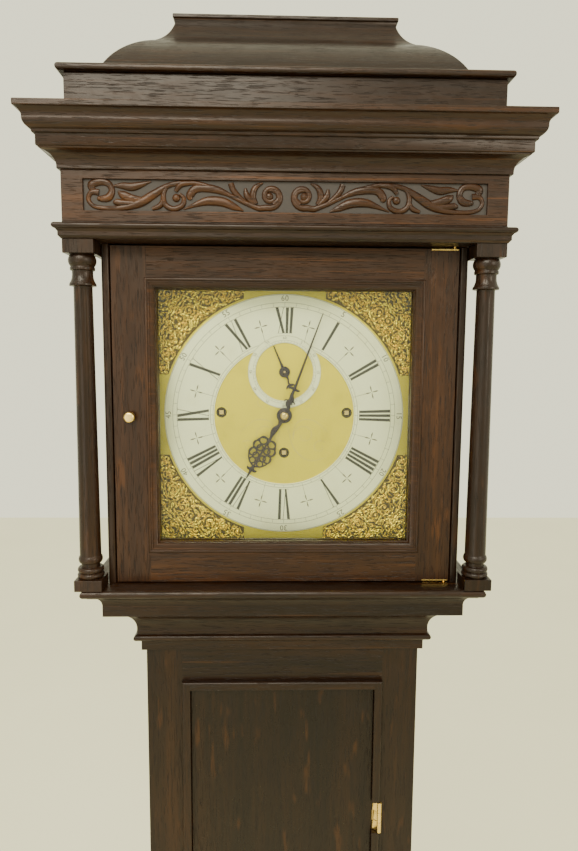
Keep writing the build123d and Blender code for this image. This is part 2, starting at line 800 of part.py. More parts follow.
column_x = hood_half - column_inset
with BuildPart() as front_columns:
    with Locations(
        (-column_x, hood_front + column_inset, platform_top),
        (column_x, hood_front + column_inset, platform_top),
    ):
        add(column.part)
save(front_columns, "front_columns")

with BuildPart() as rear_columns:
    with Locations(
        (-column_x, wall - column_inset - 1.0, platform_top),
        (column_x, wall - column_inset - 1.0, platform_top),
    ):
        add(column.part)
save(rear_columns, "rear_columns")

with BuildPart() as hood_hinge_plates:
    for plate_z in (low_plate_z, high_plate_z):
        board(strap_x, strap_y, plate_z)
        post(
            door_pin_radius + running_clearance, door_pin_x, door_pin_y,
            plate_z[0] - 1, plate_z[1] + 1,
            mode=Mode.SUBTRACT,
        )
save(hood_hinge_plates, "hood_hinge_plates")

# ---- hood door ----
glass_back = hood_door_back - 6.0
glass_front = glass_back - glass_thickness
glass_half = sight_half + glass_edge
knob_x = -hood_door_half + knob_from_edge
knob_z = dial_z + 2.0
knob_shank = 2.0
with BuildPart() as hood_door_frame:
    board(
        (-hood_door_half, hood_door_half),
        (hood_door_front, hood_door_back),
        (hood_door_bottom, hood_door_top),
    )
    with BuildSketch(facing(hood_door_front - 1, 0, dial_z)) as sight:
        Rectangle(2 * sight_half, 2 * sight_half)
    extrude(sight.sketch, amount=-(hood_door_thickness + 2), mode=Mode.SUBTRACT)
    front_edges = hood_door_frame.edges().group_by(Axis.Y)[0]
    chamfer(front_edges.sort_by(SortBy.LENGTH)[0:4], length=7.0, length2=sight_chamfer)
    board(
        (-glass_half, glass_half),
        (glass_front, glass_back),
        (dial_z - glass_half, dial_z + glass_half),
        mode=Mode.SUBTRACT,
    )
    board(strap_x, strap_y, low_strap_z, mode=Mode.SUBTRACT)
    board(strap_x, strap_y, high_strap_z, mode=Mode.SUBTRACT)
    arbor(
        knob_shank, knob_x, knob_z, hood_door_front - 1, hood_door_front + 12, mode=Mode.SUBTRACT
    )
save(hood_door_frame, "hood_door_frame")

with BuildPart() as hood_door_glass:
    board(
        (-glass_half, glass_half),
        (glass_front, glass_back),
        (dial_z - glass_half, dial_z + glass_half),
    )
save(hood_door_glass, "hood_door_glass")

with BuildPart() as hood_door_knob:
    arbor(knob_radius - 1.0, knob_x, knob_z, hood_door_front - 1.2, hood_door_front)
    arbor(2.4, knob_x, knob_z, hood_door_front - 5.0, hood_door_front)
    arbor(knob_radius, knob_x, knob_z, hood_door_front - 11.0, hood_door_front - 5.0)
    fillet(hood_door_knob.edges().group_by(Axis.Y)[0], 2.6)
    arbor(knob_shank, knob_x, knob_z, hood_door_front - 1, hood_door_front + 12)
save(hood_door_knob, "hood_door_knob")

with BuildPart() as hood_door_straps:
    board(strap_x, strap_y, low_strap_z)
    board(strap_x, strap_y, high_strap_z)
    post(door_pin_radius, door_pin_x, door_pin_y, platform_top - 6, low_strap_z[1])
    post(door_pin_radius, door_pin_x, door_pin_y, high_strap_z[0], soffit + 6)
save(hood_door_straps, "hood_door_straps")

# ---- dial ----
dial_foot_x = plate_half_width - 18.0
dial_foot_z = plate_top - 10.0
with BuildPart() as dial_plate:
    with BuildSketch(facing(dial_back, 0, dial_z)) as dial_outline:
        Rectangle(dial_size, dial_size)
        Circle(5.0, mode=Mode.SUBTRACT)
        with Locations((0, seconds_drop)):
            Circle(2.0, mode=Mode.SUBTRACT)
        with Locations(*weight_centres):
            Circle(winding_hole_radius, mode=Mode.SUBTRACT)
    extrude(dial_outline.sketch, amount=dial_thickness)
    for foot_x in (-dial_foot_x, dial_foot_x):
        for foot_z in (-dial_foot_z, dial_foot_z):
            arbor(3.0, foot_x, dial_z + foot_z, dial_back - 0.5, front_plate)
save(dial_plate, "dial_plate")

with BuildPart() as chapter_ring:
    with BuildSketch(facing(dial_front, 0, dial_z)) as chapter_outline:
        Circle(chapter_radius)
        Circle(chapter_inner, mode=Mode.SUBTRACT)
        with Locations((0, seconds_drop)):
            Circle(seconds_outer + mitre_gap, mode=Mode.SUBTRACT)
    extrude(chapter_outline.sketch, amount=ring_thickness)
save(chapter_ring, "chapter_ring")

with BuildPart() as seconds_ring:
    with BuildSketch(facing(dial_front, 0, dial_z + seconds_drop)) as seconds_outline:
        Circle(seconds_outer)
        Circle(seconds_inner, mode=Mode.SUBTRACT)
    extrude(seconds_outline.sketch, amount=ring_thickness)
save(seconds_ring, "seconds_ring")

with BuildPart() as spandrels:
    corner_reach = dial_size - 2 * spandrel_clearance
    with BuildSketch(facing(dial_front, 0, dial_z)) as corner_outline:
        Rectangle(corner_reach, corner_reach)
        Circle(chapter_radius + spandrel_clearance, mode=Mode.SUBTRACT)
        Rectangle(dial_size, dial_size * 0.3, mode=Mode.SUBTRACT)
        Rectangle(dial_size * 0.3, dial_size, mode=Mode.SUBTRACT)
    extrude(corner_outline.sketch, amount=spandrel_thickness)
save(spandrels, "spandrels")

# ---- hands: each drawn pointing straight up, then turned to the time shown ----
hour_pipe_radius = 4.2
cannon_radius = 2.8
seconds_arbor_radius = 1.2
with BuildPart() as hour_hand:
    rosette = hour_hand_length * 0.58
    with BuildSketch(facing(hour_hand_y, 0, dial_z, hour_hand_angle)) as hour_outline:
        Circle(9.0)
        with Locations((0, rosette / 2)):
            Rectangle(4.6, rosette)
        with Locations((0, rosette)):
            Ellipse(14.0, 18.0)
        with Locations((0, rosette + 23.0)):
            Rectangle(12.0, 3.4)
        Polygon((-3.0, rosette + 16), (3.0, rosette + 16), (0, hour_hand_length), align=None)
        with Locations((0, rosette)):
            with PolarLocations(8.0, 4, start_angle=45):
                Circle(3.2, mode=Mode.SUBTRACT)
            Circle(2.4, mode=Mode.SUBTRACT)
        Circle(hour_pipe_radius, mode=Mode.SUBTRACT)
    extrude(hour_outline.sketch, amount=hand_thickness)
save(hour_hand, "hour_hand")

with BuildPart() as minute_hand:
    with BuildSketch(facing(minute_hand_y, 0, dial_z, minute_hand_angle)) as minute_outline:
        Circle(6.5)
        with Locations((0, 19.0)):
            Rectangle(3.4, 30.0)
        with Locations((0, 22.0)):
            Ellipse(3.6, 7.0)
        with Locations((0, 33.0)):
            Rectangle(13.0, 2.6)
        Polygon((-2.2, 32), (2.2, 32), (0.4, minute_hand_length), (-0.4, minute_hand_length),
                align=None)
        Circle(cannon_radius, mode=Mode.SUBTRACT)
    extrude(minute_outline.sketch, amount=hand_thickness)
save(minute_hand, "minute_hand")

with BuildPart() as seconds_hand:
    seconds_place = facing(seconds_hand_y, 0, dial_z + seconds_drop, seconds_hand_angle)
    with BuildSketch(seconds_place) as seconds_shape:
        Circle(6.0)
        Polygon((-1.4, 0), (1.4, 0), (0.4, seconds_hand_length), (-0.4, seconds_hand_length),
                align=None)
        with Locations((0, -11.0)):
            Rectangle(2.4, 14.0)
        with Locations((0, -18.0)):
            Rectangle(11.0, 2.4)
        Circle(seconds_arbor_radius, mode=Mode.SUBTRACT)
    extrude(seconds_shape.sketch, amount=seconds_hand_thickness)
save(seconds_hand, "seconds_hand")


# ---- wheels ----
def toothed_disc(x, z, y_back, thickness, outline, rim, hub, bore):
    """A crossed-out wheel: teeth, four spokes, hub and bore."""
    with BuildPart() as disc:
        with BuildSketch(facing(y_back, x, dial_z + z)) as teeth_face:
            Polygon(*outline, align=None)
        extrude(teeth_face.sketch, amount=thickness)
        if rim > hub:
            with BuildSketch(facing(y_back, x, dial_z + z)) as windows:
                Circle(rim)
                Circle(hub, mode=Mode.SUBTRACT)
                Rectangle(2 * rim, 3.0, mode=Mode.SUBTRACT)
                Rectangle(3.0, 2 * rim, mode=Mode.SUBTRACT)
            extrude(windows.sketch, amount=thickness, mode=Mode.SUBTRACT)
        if bore > 0:
            arbor(bore, x, dial_z + z, y_back - thickness - 1, y_back + 1, mode=Mode.SUBTRACT)
    return disc


def wheel(x, z, y_back, thickness, teeth, module, form, towards, bore=0.0, crossed=True):
    """A toothed wheel on the movement, facing the angle towards with a tooth."""
    outline = toothed_outline(teeth, module, form, towards)
    rim = module * teeth / 2 - 1.5 * module - 2.6 if crossed else 0.0
    return toothed_disc(x, z, y_back, thickness, outline, rim, bore + 4.5, bore)


up = pi / 2
third_towards = atan2(third_rise, third_offset)
escape_towards = atan2(seconds_drop - third_rise, -third_offset)

# the great wheel turns freely on the winding arbor of the going barrel
great_wheel = wheel(
    0, -winding_drop, great_y + 3.0, 3.0, great_teeth, great_module, wheel_form, up,
    bore=barrel_arbor_radius + running_clearance,
)
save(great_wheel, "great_wheel")

centre_disc = wheel(0, 0, centre_y + 2.0, 2.0, centre_teeth, train_module, wheel_form, third_towards)
centre_pinion = wheel(
    0, 0, great_y + 5.0, 7.0, centre_leaves, great_module, pinion_form,
    -up + pi / centre_leaves, crossed=False,
)
collet_front = minute_hand_y - hand_thickness - 4.4
with BuildPart() as centre_wheel:
    add(centre_disc.part)
    add(centre_pinion.part)
    arbor(arbor_radius, 0, dial_z, collet_front + 2.0, back_plate_back)
save(centre_wheel, "centre_wheel")

third_disc = wheel(
    third_offset, third_rise, third_y + 2.0, 2.0, third_teeth, train_module, wheel_form,
    escape_towards,
)
third_pinion = wheel(
    third_offset, third_rise, centre_y + 4.0, 6.0, third_leaves, train_module, pinion_form,
    third_towards + pi + pi / third_leaves, crossed=False,
)
with BuildPart() as third_wheel:
    add(third_disc.part)
    add(third_pinion.part)
    arbor(arbor_radius, third_offset, dial_z + third_rise, front_plate, back_plate_back)
save(third_wheel, "third_wheel")

escape_outline = []
for tooth in range(escape_teeth):
    tip_angle = 2 * pi * tooth / escape_teeth
    for reach, lag in ((escape_radius, 0.0), (escape_radius - 4.5, 0.25), (escape_radius - 4.5, 0.8)):
        angle = tip_angle + lag * 2 * pi / escape_teeth
        escape_outline.append((reach * cos(angle), reach * sin(angle)))
escape_disc = toothed_disc(
    0, seconds_drop, escape_y + 1.5, 1.5, escape_outline, escape_radius - 7.0, 4.5, 0.0
)
escape_pinion = wheel(
    0, seconds_drop, third_y + 5.0, 10.0, escape_leaves, train_module, pinion_form,
    escape_towards + pi + pi / escape_leaves, crossed=False,
)
with BuildPart() as escape_wheel:
    add(escape_disc.part)
    add(escape_pinion.part)
    arbor(
        seconds_arbor_radius, 0, dial_z + seconds_drop,
        seconds_hand_y - seconds_hand_thickness - 0.3, back_plate_back,
    )
save(escape_wheel, "escape_wheel")

# motion work behind the dial
cannon_y = front_plate - 3.0
hour_y = cannon_y - 4.0
cannon_disc = wheel(
    0, 0, cannon_y, 2.0, cannon_teeth, motion_module, pinion_form, 0,
    bore=arbor_radius + running_clearance, crossed=False,
)
with BuildPart() as cannon_pinion:
    add(cannon_disc.part)
    arbor(cannon_radius, 0, dial_z, minute_hand_y - hand_thickness, cannon_y)
    arbor(4.6, 0, dial_z, collet_front, minute_hand_y - hand_thickness)
    fillet(cannon_pinion.edges().group_by(Axis.Y)[0], 2.6)
    arbor(
        arbor_radius + running_clearance, 0, dial_z, collet_front + 1.5, cannon_y + 1,
        mode=Mode.SUBTRACT,
    )
save(cannon_pinion, "cannon_pinion")

minute_disc = wheel(
    motion_reach, 0, cannon_y, 2.0, minute_teeth, motion_module, wheel_form,
    pi + pi / minute_teeth, bore=arbor_radius + running_clearance,
)
minute_pinion = wheel(
    motion_reach, 0, hour_y + 2.0, 5.0, minute_leaves, hour_module, pinion_form,
    pi + pi / minute_leaves, bore=arbor_radius + running_clearance, crossed=False,
)
with BuildPart() as minute_wheel:
    add(minute_disc.part)
    add(minute_pinion.part)
save(minute_wheel, "minute_wheel")

hour_disc = wheel(
    0, 0, hour_y, 2.0, hour_teeth, hour_module, wheel_form, 0,
    bore=cannon_radius + 2 * running_clearance,
)
with BuildPart() as hour_wheel:
    add(hour_disc.part)
    arbor(hour_pipe_radius, 0, dial_z, hour_hand_y - hand_thickness, hour_y)
    arbor(
        cannon_radius + 2 * running_clearance, 0, dial_z,
        hour_hand_y - hand_thickness - 1, hour_y + 1,
        mode=Mode.SUBTRACT,
    )
save(hour_wheel, "hour_wheel")

# ---- movement frame ----
hammer_x = -70.0
hammer_z = plate_top - 20.0
pillar_places = [
    (side_x, height)
    for side_x in (13.0 - plate_half_width, plate_half_width - 13.0)
    for height in (plate_top - 13.0, 13.0 - plate_bottom)
]
pivot_holes = [
    (0.0, 0.0, arbor_radius),
    (third_offset, third_rise, arbor_radius),
    (0.0, seconds_drop, seconds_arbor_radius),
    (hammer_x, hammer_z, arbor_radius),
] + [(x, z, barrel_arbor_radius) for x, z in weight_centres]
with BuildPart() as movement_plates:
    plate_middle = (plate_top - plate_bottom) / 2
    for plate_y in (front_plate_back, back_plate_back):
        with BuildSketch(facing(plate_y, 0, dial_z)) as plate_outline:
            with Locations((0, plate_middle)):
                Rectangle(2 * plate_half_width, plate_top + plate_bottom)
            for hole_x, hole_z, shaft in pivot_holes:
                with Locations((hole_x, hole_z)):
                    Circle(shaft + running_clearance, mode=Mode.SUBTRACT)
        extrude(plate_outline.sketch, amount=plate_thickness)
    arbor(
        arbor_radius + running_clearance, 0, pendulum_pivot, front_plate - 1, front_plate_back + 1,
        mode=Mode.SUBTRACT,
    )
    arbor(5.0, 0, pendulum_pivot, back_plate - 1, back_plate_back + 1, mode=Mode.SUBTRACT)
    arbor(arbor_radius, motion_reach, dial_z, hour_y - 4.0, front_plate_back)
save(movement_plates, "movement_plates")

with BuildPart() as plate_pillars:
    for pillar_x, pillar_z in pillar_places:
        arbor(4.0, pillar_x, dial_z + pillar_z, front_plate_back, back_plate)
        arbor(6.0, pillar_x, dial_z + pillar_z, front_plate_back, front_plate_back + 6)
        arbor(6.0, pillar_x, dial_z + pillar_z, back_plate - 6, back_plate)
        arbor(
            6.0, pillar_x, dial_z + pillar_z,
            (front_plate_back + back_plate) / 2 - 5, (front_plate_back + back_plate) / 2 + 5,
        )
save(plate_pillars, "plate_pillars")

cock_bridge = back_plate_back + 12.0
spring_slot = 2.6
cheek_low = pendulum_pivot + 8.0
cheek_high = pendulum_pivot + 18.0
with BuildPart() as back_cock:
    for side in (-1, 1):
        foot_span = sorted((side * 24.0, side * 34.0))
        board(foot_span, (back_plate_back, cock_bridge), (pendulum_pivot - 8, cheek_high))
    board((-34.0, 34.0), (cock_bridge, cock_bridge + 3.0), (pendulum_pivot - 8, cheek_high))
    board((-7.0, 7.0), (cock_bridge + 3.0, pendulum_y + 8.0), (cheek_low, cheek_high))
    board(
        (-spring_slot / 2, spring_slot / 2),
        (pendulum_y - 6.0, pendulum_y + 9.0),
        (cheek_low - 1, cheek_high + 1),
        mode=Mode.SUBTRACT,
    )
    arbor(
        arbor_radius + running_clearance, 0, pendulum_pivot, cock_bridge - 1, cock_bridge + 4,
        mode=Mode.SUBTRACT,
    )
save(back_cock, "back_cock")

# ---- escapement and pendulum, both turning about the same line ----
pallet_reach = (escape_radius + 1.6) / sqrt(2)
pallet_z = seconds_drop + pallet_reach
crutch_y = back_plate_back + 3.0
fork_z = pendulum_pivot - 122.0
fork_gap = pendulum_rod_radius + 0.4
with BuildPart() as anchor_and_crutch:
    with BuildSketch(facing(escape_y + 3.0, 0, dial_z)) as anchor_outline:
        with Locations((0, anchor_rise)):
            Circle(4.5)
        for side in (-1, 1):
            Polygon(
                (side * 2, anchor_rise + 3.5),
                (side * (pallet_reach + 5), anchor_rise - 4),
                (side * (pallet_reach + 4), pallet_z + 1),
                (side * pallet_reach, pallet_z),
                (side * (pallet_reach + 1.2), anchor_rise - 6),
                (side * 2, anchor_rise - 2.5),
                align=None,
            )
    extrude(anchor_outline.sketch, amount=4.5)
    arbor(arbor_radius, 0, pendulum_pivot, front_plate, cock_bridge + 3.0)
    arbor(3.0, 0, pendulum_pivot, crutch_y, crutch_y + 3.0)
    board((-1.5, 1.5), (crutch_y, crutch_y + 3.0), (fork_z, pendulum_pivot))
    board((-fork_gap - 2.5, fork_gap + 2.5), (crutch_y, crutch_y + 3.0), (fork_z - 3, fork_z + 3))
    for side in (-1, 1):
        prong = sorted((side * fork_gap, side * (fork_gap + 2.5)))
        board(prong, (crutch_y + 3.0, pendulum_y + 6.0), (fork_z - 3, fork_z + 3))
save(anchor_and_crutch, "anchor_and_crutch")

bob_z = pendulum_pivot - pendulum_length
spring_bottom = pendulum_pivot - 20.0
with BuildPart() as pendulum_rod:
    board((-0.2, 0.2), (pendulum_y - 4.0, pendulum_y + 4.0), (spring_bottom, cheek_high + 1))
    board(
        (-4.5, 4.5), (pendulum_y - 5.0, pendulum_y + 5.0),
        (cheek_high + rest_clearance, cheek_high + 5.5),
    )
    board((-4.0, 4.0), (pendulum_y - 5.0, pendulum_y + 5.0), (spring_bottom - 10, spring_bottom))
    post(
        pendulum_rod_radius, 0, pendulum_y, bob_z - bob_radius - 26.0, spring_bottom - 10
    )
save(pendulum_rod, "pendulum_rod")

# each face of the bob is part of a sphere, met by a narrow rim
bob_edge = 2.4
bob_rise = (bob_thickness - bob_edge) / 2
bob_sphere = (bob_radius**2 + bob_rise**2) / (2 * bob_rise)
bob_middle = bob_thickness / 2 - bob_sphere + sqrt(bob_sphere**2 - bob_radius**2 / 4)
nut_top = bob_z - bob_radius - 1.0
with BuildPart() as pendulum_bob:
    with BuildSketch(Plane(origin=(0, pendulum_y, bob_z), x_dir=(0, 1, 0), z_dir=(1, 0, 0))) as lens:
        with BuildLine():
            ThreePointArc((-bob_thickness / 2, 0), (-bob_middle, bob_radius / 2),
                          (-bob_edge / 2, bob_radius))
            Polyline((-bob_edge / 2, bob_radius), (bob_edge / 2, bob_radius))
            ThreePointArc((bob_edge / 2, bob_radius), (bob_middle, bob_radius / 2),
                          (bob_thickness / 2, 0))
            Polyline((bob_thickness / 2, 0), (-bob_thickness / 2, 0))
        make_face()
    revolve(lens.sketch, axis=Axis((0, pendulum_y, bob_z), (0, 1, 0)))
    post(8.0, 0, pendulum_y, nut_top - 7.0, nut_top)
    post(
        pendulum_rod_radius + 0.02, 0, pendulum_y, nut_top - 8.0, bob_z + bob_radius + 1,
        mode=Mode.SUBTRACT,
    )
save(pendulum_bob, "pendulum_bob")


# ---- winding barrels, lines and weights ----
def barrel(x, z):
    """Drum, flanges and squared winding arbor."""
    with BuildPart() as drum:
        arbor(barrel_radius, x, dial_z + z, barrel_y, barrel_y + barrel_length)
        flange = barrel_radius + barrel_flange
        arbor(flange, x, dial_z + z, barrel_y - 1.5, barrel_y)
        arbor(flange, x, dial_z + z, barrel_y + barrel_length, barrel_y + barrel_length + 1.5)
        arbor(barrel_arbor_radius, x, dial_z + z, front_plate, back_plate_back)
        half = winding_square / 2
        board(
            (x - half, x + half),
            (dial_front + 1.0, front_plate),
            (dial_z + z - half, dial_z + z + half),
        )
    return drum


def strike_barrel_with_wheel(x, z):
    """A barrel whose driving wheel is keyed to it."""
    bare = barrel(x, z)
    driving = wheel(x, z, great_y + 3.0, 3.0, 84, 0.8, wheel_form, up)
    with BuildPart() as whole:
        add(bare.part)
        add(driving.part)
    return whole


def weight(x):
    """A run-down weight with its hook, stirrup and pulley."""
    top = weight_low + weight_length
    with BuildPart() as hanging:
        post(weight_radius, x, barrel_middle, weight_low, top)
        fillet(hanging.edges().filter_by(GeomType.CIRCLE).group_by(Axis.Z)[-1], 9.0)
        fillet(hanging.edges().filter_by(GeomType.CIRCLE).group_by(Axis.Z)[0], 2.0)
        post(2.2, x, barrel_middle, top - 1, top + 22)
        board(
            (x - 6, x + 6), (barrel_middle - 7.5, barrel_middle + 7.5), (top + 20, top + 26)
        )
        for y_span in (
            (barrel_middle - 7.5, barrel_middle - 5.5),
            (barrel_middle + 5.5, barrel_middle + 7.5),
        ):
            board((x - 6, x + 6), y_span, (top + 20, pulley_axis + 8))
        arbor(2.0, x, pulley_axis, barrel_middle - 8, barrel_middle + 8)
    wheel_low = barrel_middle - 4.0
    wheel_high = barrel_middle + 4.0
    with BuildPart() as pulley:
        arbor(barrel_radius + 3.0, x, pulley_axis, wheel_low, wheel_low + 2)
        arbor(barrel_radius, x, pulley_axis, wheel_low + 2, wheel_high - 2)
        arbor(barrel_radius + 3.0, x, pulley_axis, wheel_high - 2, wheel_high)
        arbor(2.0 + running_clearance, x, pulley_axis, wheel_low - 1, wheel_high + 1,
              mode=Mode.SUBTRACT)
    with BuildPart() as whole:
        add(hanging.part)
        add(pulley.part)
    return whole


def gut_line(x, z):
    """Gut from the barrel, under the weight's pulley and up through the seatboard."""
    with BuildPart() as gut:
        post(line_radius, x - line_offset, barrel_middle, pulley_axis, dial_z + z)
        post(line_radius, x + line_offset, barrel_middle, pulley_axis, seat_top + 4)
        with BuildSketch(Plane.XY.offset(pulley_axis)) as strand:
            with Locations((x + line_offset, barrel_middle)):
                Circle(line_radius)
        revolve(
            strand.sketch,
            axis=Axis((x, barrel_middle, pulley_axis), (0, 1, 0)),
            revolution_arc=180,
        )
        with Locations((x + line_offset, barrel_middle, seat_top + 3.0)):
            Sphere(3.0)
    return gut


strike_place, going_place, chime_place = weight_centres
going_barrel = barrel(*going_place)
save(going_barrel, "going_barrel")
strike_barrel = strike_barrel_with_wheel(*strike_place)
save(strike_barrel, "strike_barrel")
chime_barrel = strike_barrel_with_wheel(*chime_place)
save(chime_barrel, "chime_barrel")
for train, place in (("strike", strike_place), ("going", going_place), ("chime", chime_place)):
    save(weight(place[0]), f"{train}_weight")
    save(gut_line(*place), f"{train}_line")

# ---- bell and hammer ----
bell_mouth = dial_z + plate_top + 23.0
bell_height = 32.0
bell_wall = 2.5
stand_x = 46.0
arm_top = bell_mouth - 6.0
with BuildPart() as hour_bell:
    with BuildSketch(Plane(origin=(0, barrel_middle, bell_mouth), x_dir=(1, 0, 0),
                           z_dir=(0, -1, 0))) as bell_outline:
        with BuildLine():
            Polyline((bell_radius - bell_wall, 0), (bell_radius, 0))
            ThreePointArc((bell_radius, 0), (bell_radius * 0.72, bell_height * 0.74),
                          (0, bell_height))
            Polyline((0, bell_height), (0, bell_height - bell_wall))
            ThreePointArc((0, bell_height - bell_wall),
                          (bell_radius * 0.72 - 1.8, bell_height * 0.74 - 1.9),
                          (bell_radius - bell_wall, 0))
        make_face()
    revolve(bell_outline.sketch, axis=Axis((0, barrel_middle, 0), (0, 0, 1)))
    post(3.0, 0, barrel_middle, arm_top, bell_mouth + bell_height + 3)
    post(6.0, 0, barrel_middle, bell_mouth + bell_height - 0.5, bell_mouth + bell_height + 4)
    board((-5, 5), (barrel_middle - 5, back_plate_back + 4), (arm_top - 4, arm_top))
    board((-5, stand_x + 6), (back_plate_back, back_plate_back + 4), (arm_top - 4, arm_top))
    board(
        (stand_x - 6, stand_x + 6),
        (back_plate_back, back_plate_back + 4),
        (dial_z + plate_top - 35, arm_top),
    )
save(hour_bell, "hour_bell")

head_right = -bell_radius - 1.5
head_z = bell_mouth + 3.0
with BuildPart() as strike_hammer:
    arbor(arbor_radius, hammer_x, dial_z + hammer_z, front_plate, back_plate_back)
    arbor(4.0, hammer_x, dial_z + hammer_z, barrel_middle - 5, barrel_middle + 5)
    with BuildSketch(facing(barrel_middle + 2.0)) as stem:
        Polygon(
            (hammer_x - 2, dial_z + hammer_z),
            (hammer_x + 2, dial_z + hammer_z),
            (head_right - 4, head_z),
            (head_right - 8, head_z),
            align=None,
        )
    extrude(stem.sketch, amount=4.0)
    with Locations((head_right - 6, barrel_middle, head_z)):
        Cylinder(5.0, 12.0, rotation=(0, 90, 0))
save(strike_hammer, "strike_hammer")
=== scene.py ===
import json
import logging
import math
import random
from dataclasses import dataclass
from enum import Enum
from typing import Optional, Sequence

import bmesh
import bpy
from mathutils import Matrix, Vector


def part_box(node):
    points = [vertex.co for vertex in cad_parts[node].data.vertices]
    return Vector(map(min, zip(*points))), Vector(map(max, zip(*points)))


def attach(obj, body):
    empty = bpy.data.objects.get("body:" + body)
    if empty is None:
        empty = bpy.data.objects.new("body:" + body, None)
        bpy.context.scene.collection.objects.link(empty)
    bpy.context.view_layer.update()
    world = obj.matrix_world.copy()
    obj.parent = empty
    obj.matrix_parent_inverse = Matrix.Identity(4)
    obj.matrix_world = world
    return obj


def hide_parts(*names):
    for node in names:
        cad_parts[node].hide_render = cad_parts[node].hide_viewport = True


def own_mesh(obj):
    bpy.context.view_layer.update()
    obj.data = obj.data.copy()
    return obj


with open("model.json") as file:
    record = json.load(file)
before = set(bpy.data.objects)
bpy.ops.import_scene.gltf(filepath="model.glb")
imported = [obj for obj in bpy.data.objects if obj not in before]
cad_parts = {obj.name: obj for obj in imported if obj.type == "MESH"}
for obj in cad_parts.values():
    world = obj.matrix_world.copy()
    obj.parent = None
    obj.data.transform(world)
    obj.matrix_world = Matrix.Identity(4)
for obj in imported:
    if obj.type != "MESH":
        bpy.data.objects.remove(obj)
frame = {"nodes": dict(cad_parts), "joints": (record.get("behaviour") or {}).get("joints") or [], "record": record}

# Looks of an English oak longcase clock: waxed dark oak case with a carved frieze, square
# brass dial with silvered rings, cast corner pieces, blued steel hands and a brass movement.
# Metres, +Z up, front of the clock towards -Y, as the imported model.

LOG = logging.getLogger("longcase")
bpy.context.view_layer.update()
MM = 0.001
SIGHT_HALF = 0.1505  # half width of the hood door's opening, where its stiles begin
RING_STEPS = 120
Point = tuple[float, float]
Colour = tuple[float, float, float]
RAW_STOPS = ((0.2, (0.10, 0.062, 0.032)), (0.5, (0.19, 0.122, 0.062)), (0.8, (0.29, 0.19, 0.10)))
STAINED_STOPS = (
    (0.28, (0.0035, 0.0012, 0.0005)),
    (0.50, (0.0125, 0.0045, 0.0013)),
    (0.64, (0.0270, 0.0098, 0.0025)),
    (0.82, (0.0520, 0.0195, 0.0046)),
)
RAY_GLOW = (0.080, 0.028, 0.006)
PORE_DARK = (0.006, 0.003, 0.002)


# ---------------------------------------------------------------- shader maths
class Signal:
    """A node socket that takes part in ordinary arithmetic by adding Math nodes."""

    def __init__(self, tree: bpy.types.NodeTree, socket: bpy.types.NodeSocket) -> None:
        """Wrap a socket of a node tree."""
        self.tree = tree
        self.socket = socket

    def _math(self, operation: str, first: object, second: object = None) -> "Signal":
        """Add one Math node.

        Args:
            operation: the node's operation.
            first: a Signal or a number.
            second: a Signal, a number or nothing.

        Returns:
            The node's value.
        """
        node = self.tree.nodes.new("ShaderNodeMath")
        node.operation = operation
        for place, value in enumerate((first, second)):
            if isinstance(value, Signal):
                self.tree.links.new(value.socket, node.inputs[place])
            elif value is not None:
                node.inputs[place].default_value = value
        return Signal(self.tree, node.outputs[0])

    def __add__(self, other: object) -> "Signal":
        """Sum."""
        return self._math("ADD", self, other)

    __radd__ = __add__

    def __sub__(self, other: object) -> "Signal":
        """Difference."""
        return self._math("SUBTRACT", self, other)

    def __rsub__(self, other: object) -> "Signal":
        """Difference with this value taken away."""
        return self._math("SUBTRACT", other, self)

    def __mul__(self, other: object) -> "Signal":
        """Product."""
        return self._math("MULTIPLY", self, other)

    __rmul__ = __mul__

    def __gt__(self, other: object) -> "Signal":
        """One where this value is the greater."""
        return self._math("GREATER_THAN", self, other)

    def __abs__(self) -> "Signal":
        """Size without its sign."""
        return self._math("ABSOLUTE", self)

    def power(self, exponent: float) -> "Signal":
        """This value raised to an exponent."""
        return self._math("POWER", self, exponent)

    def least(self, other: object) -> "Signal":
        """The smaller of two values."""
        return self._math("MINIMUM", self, other)


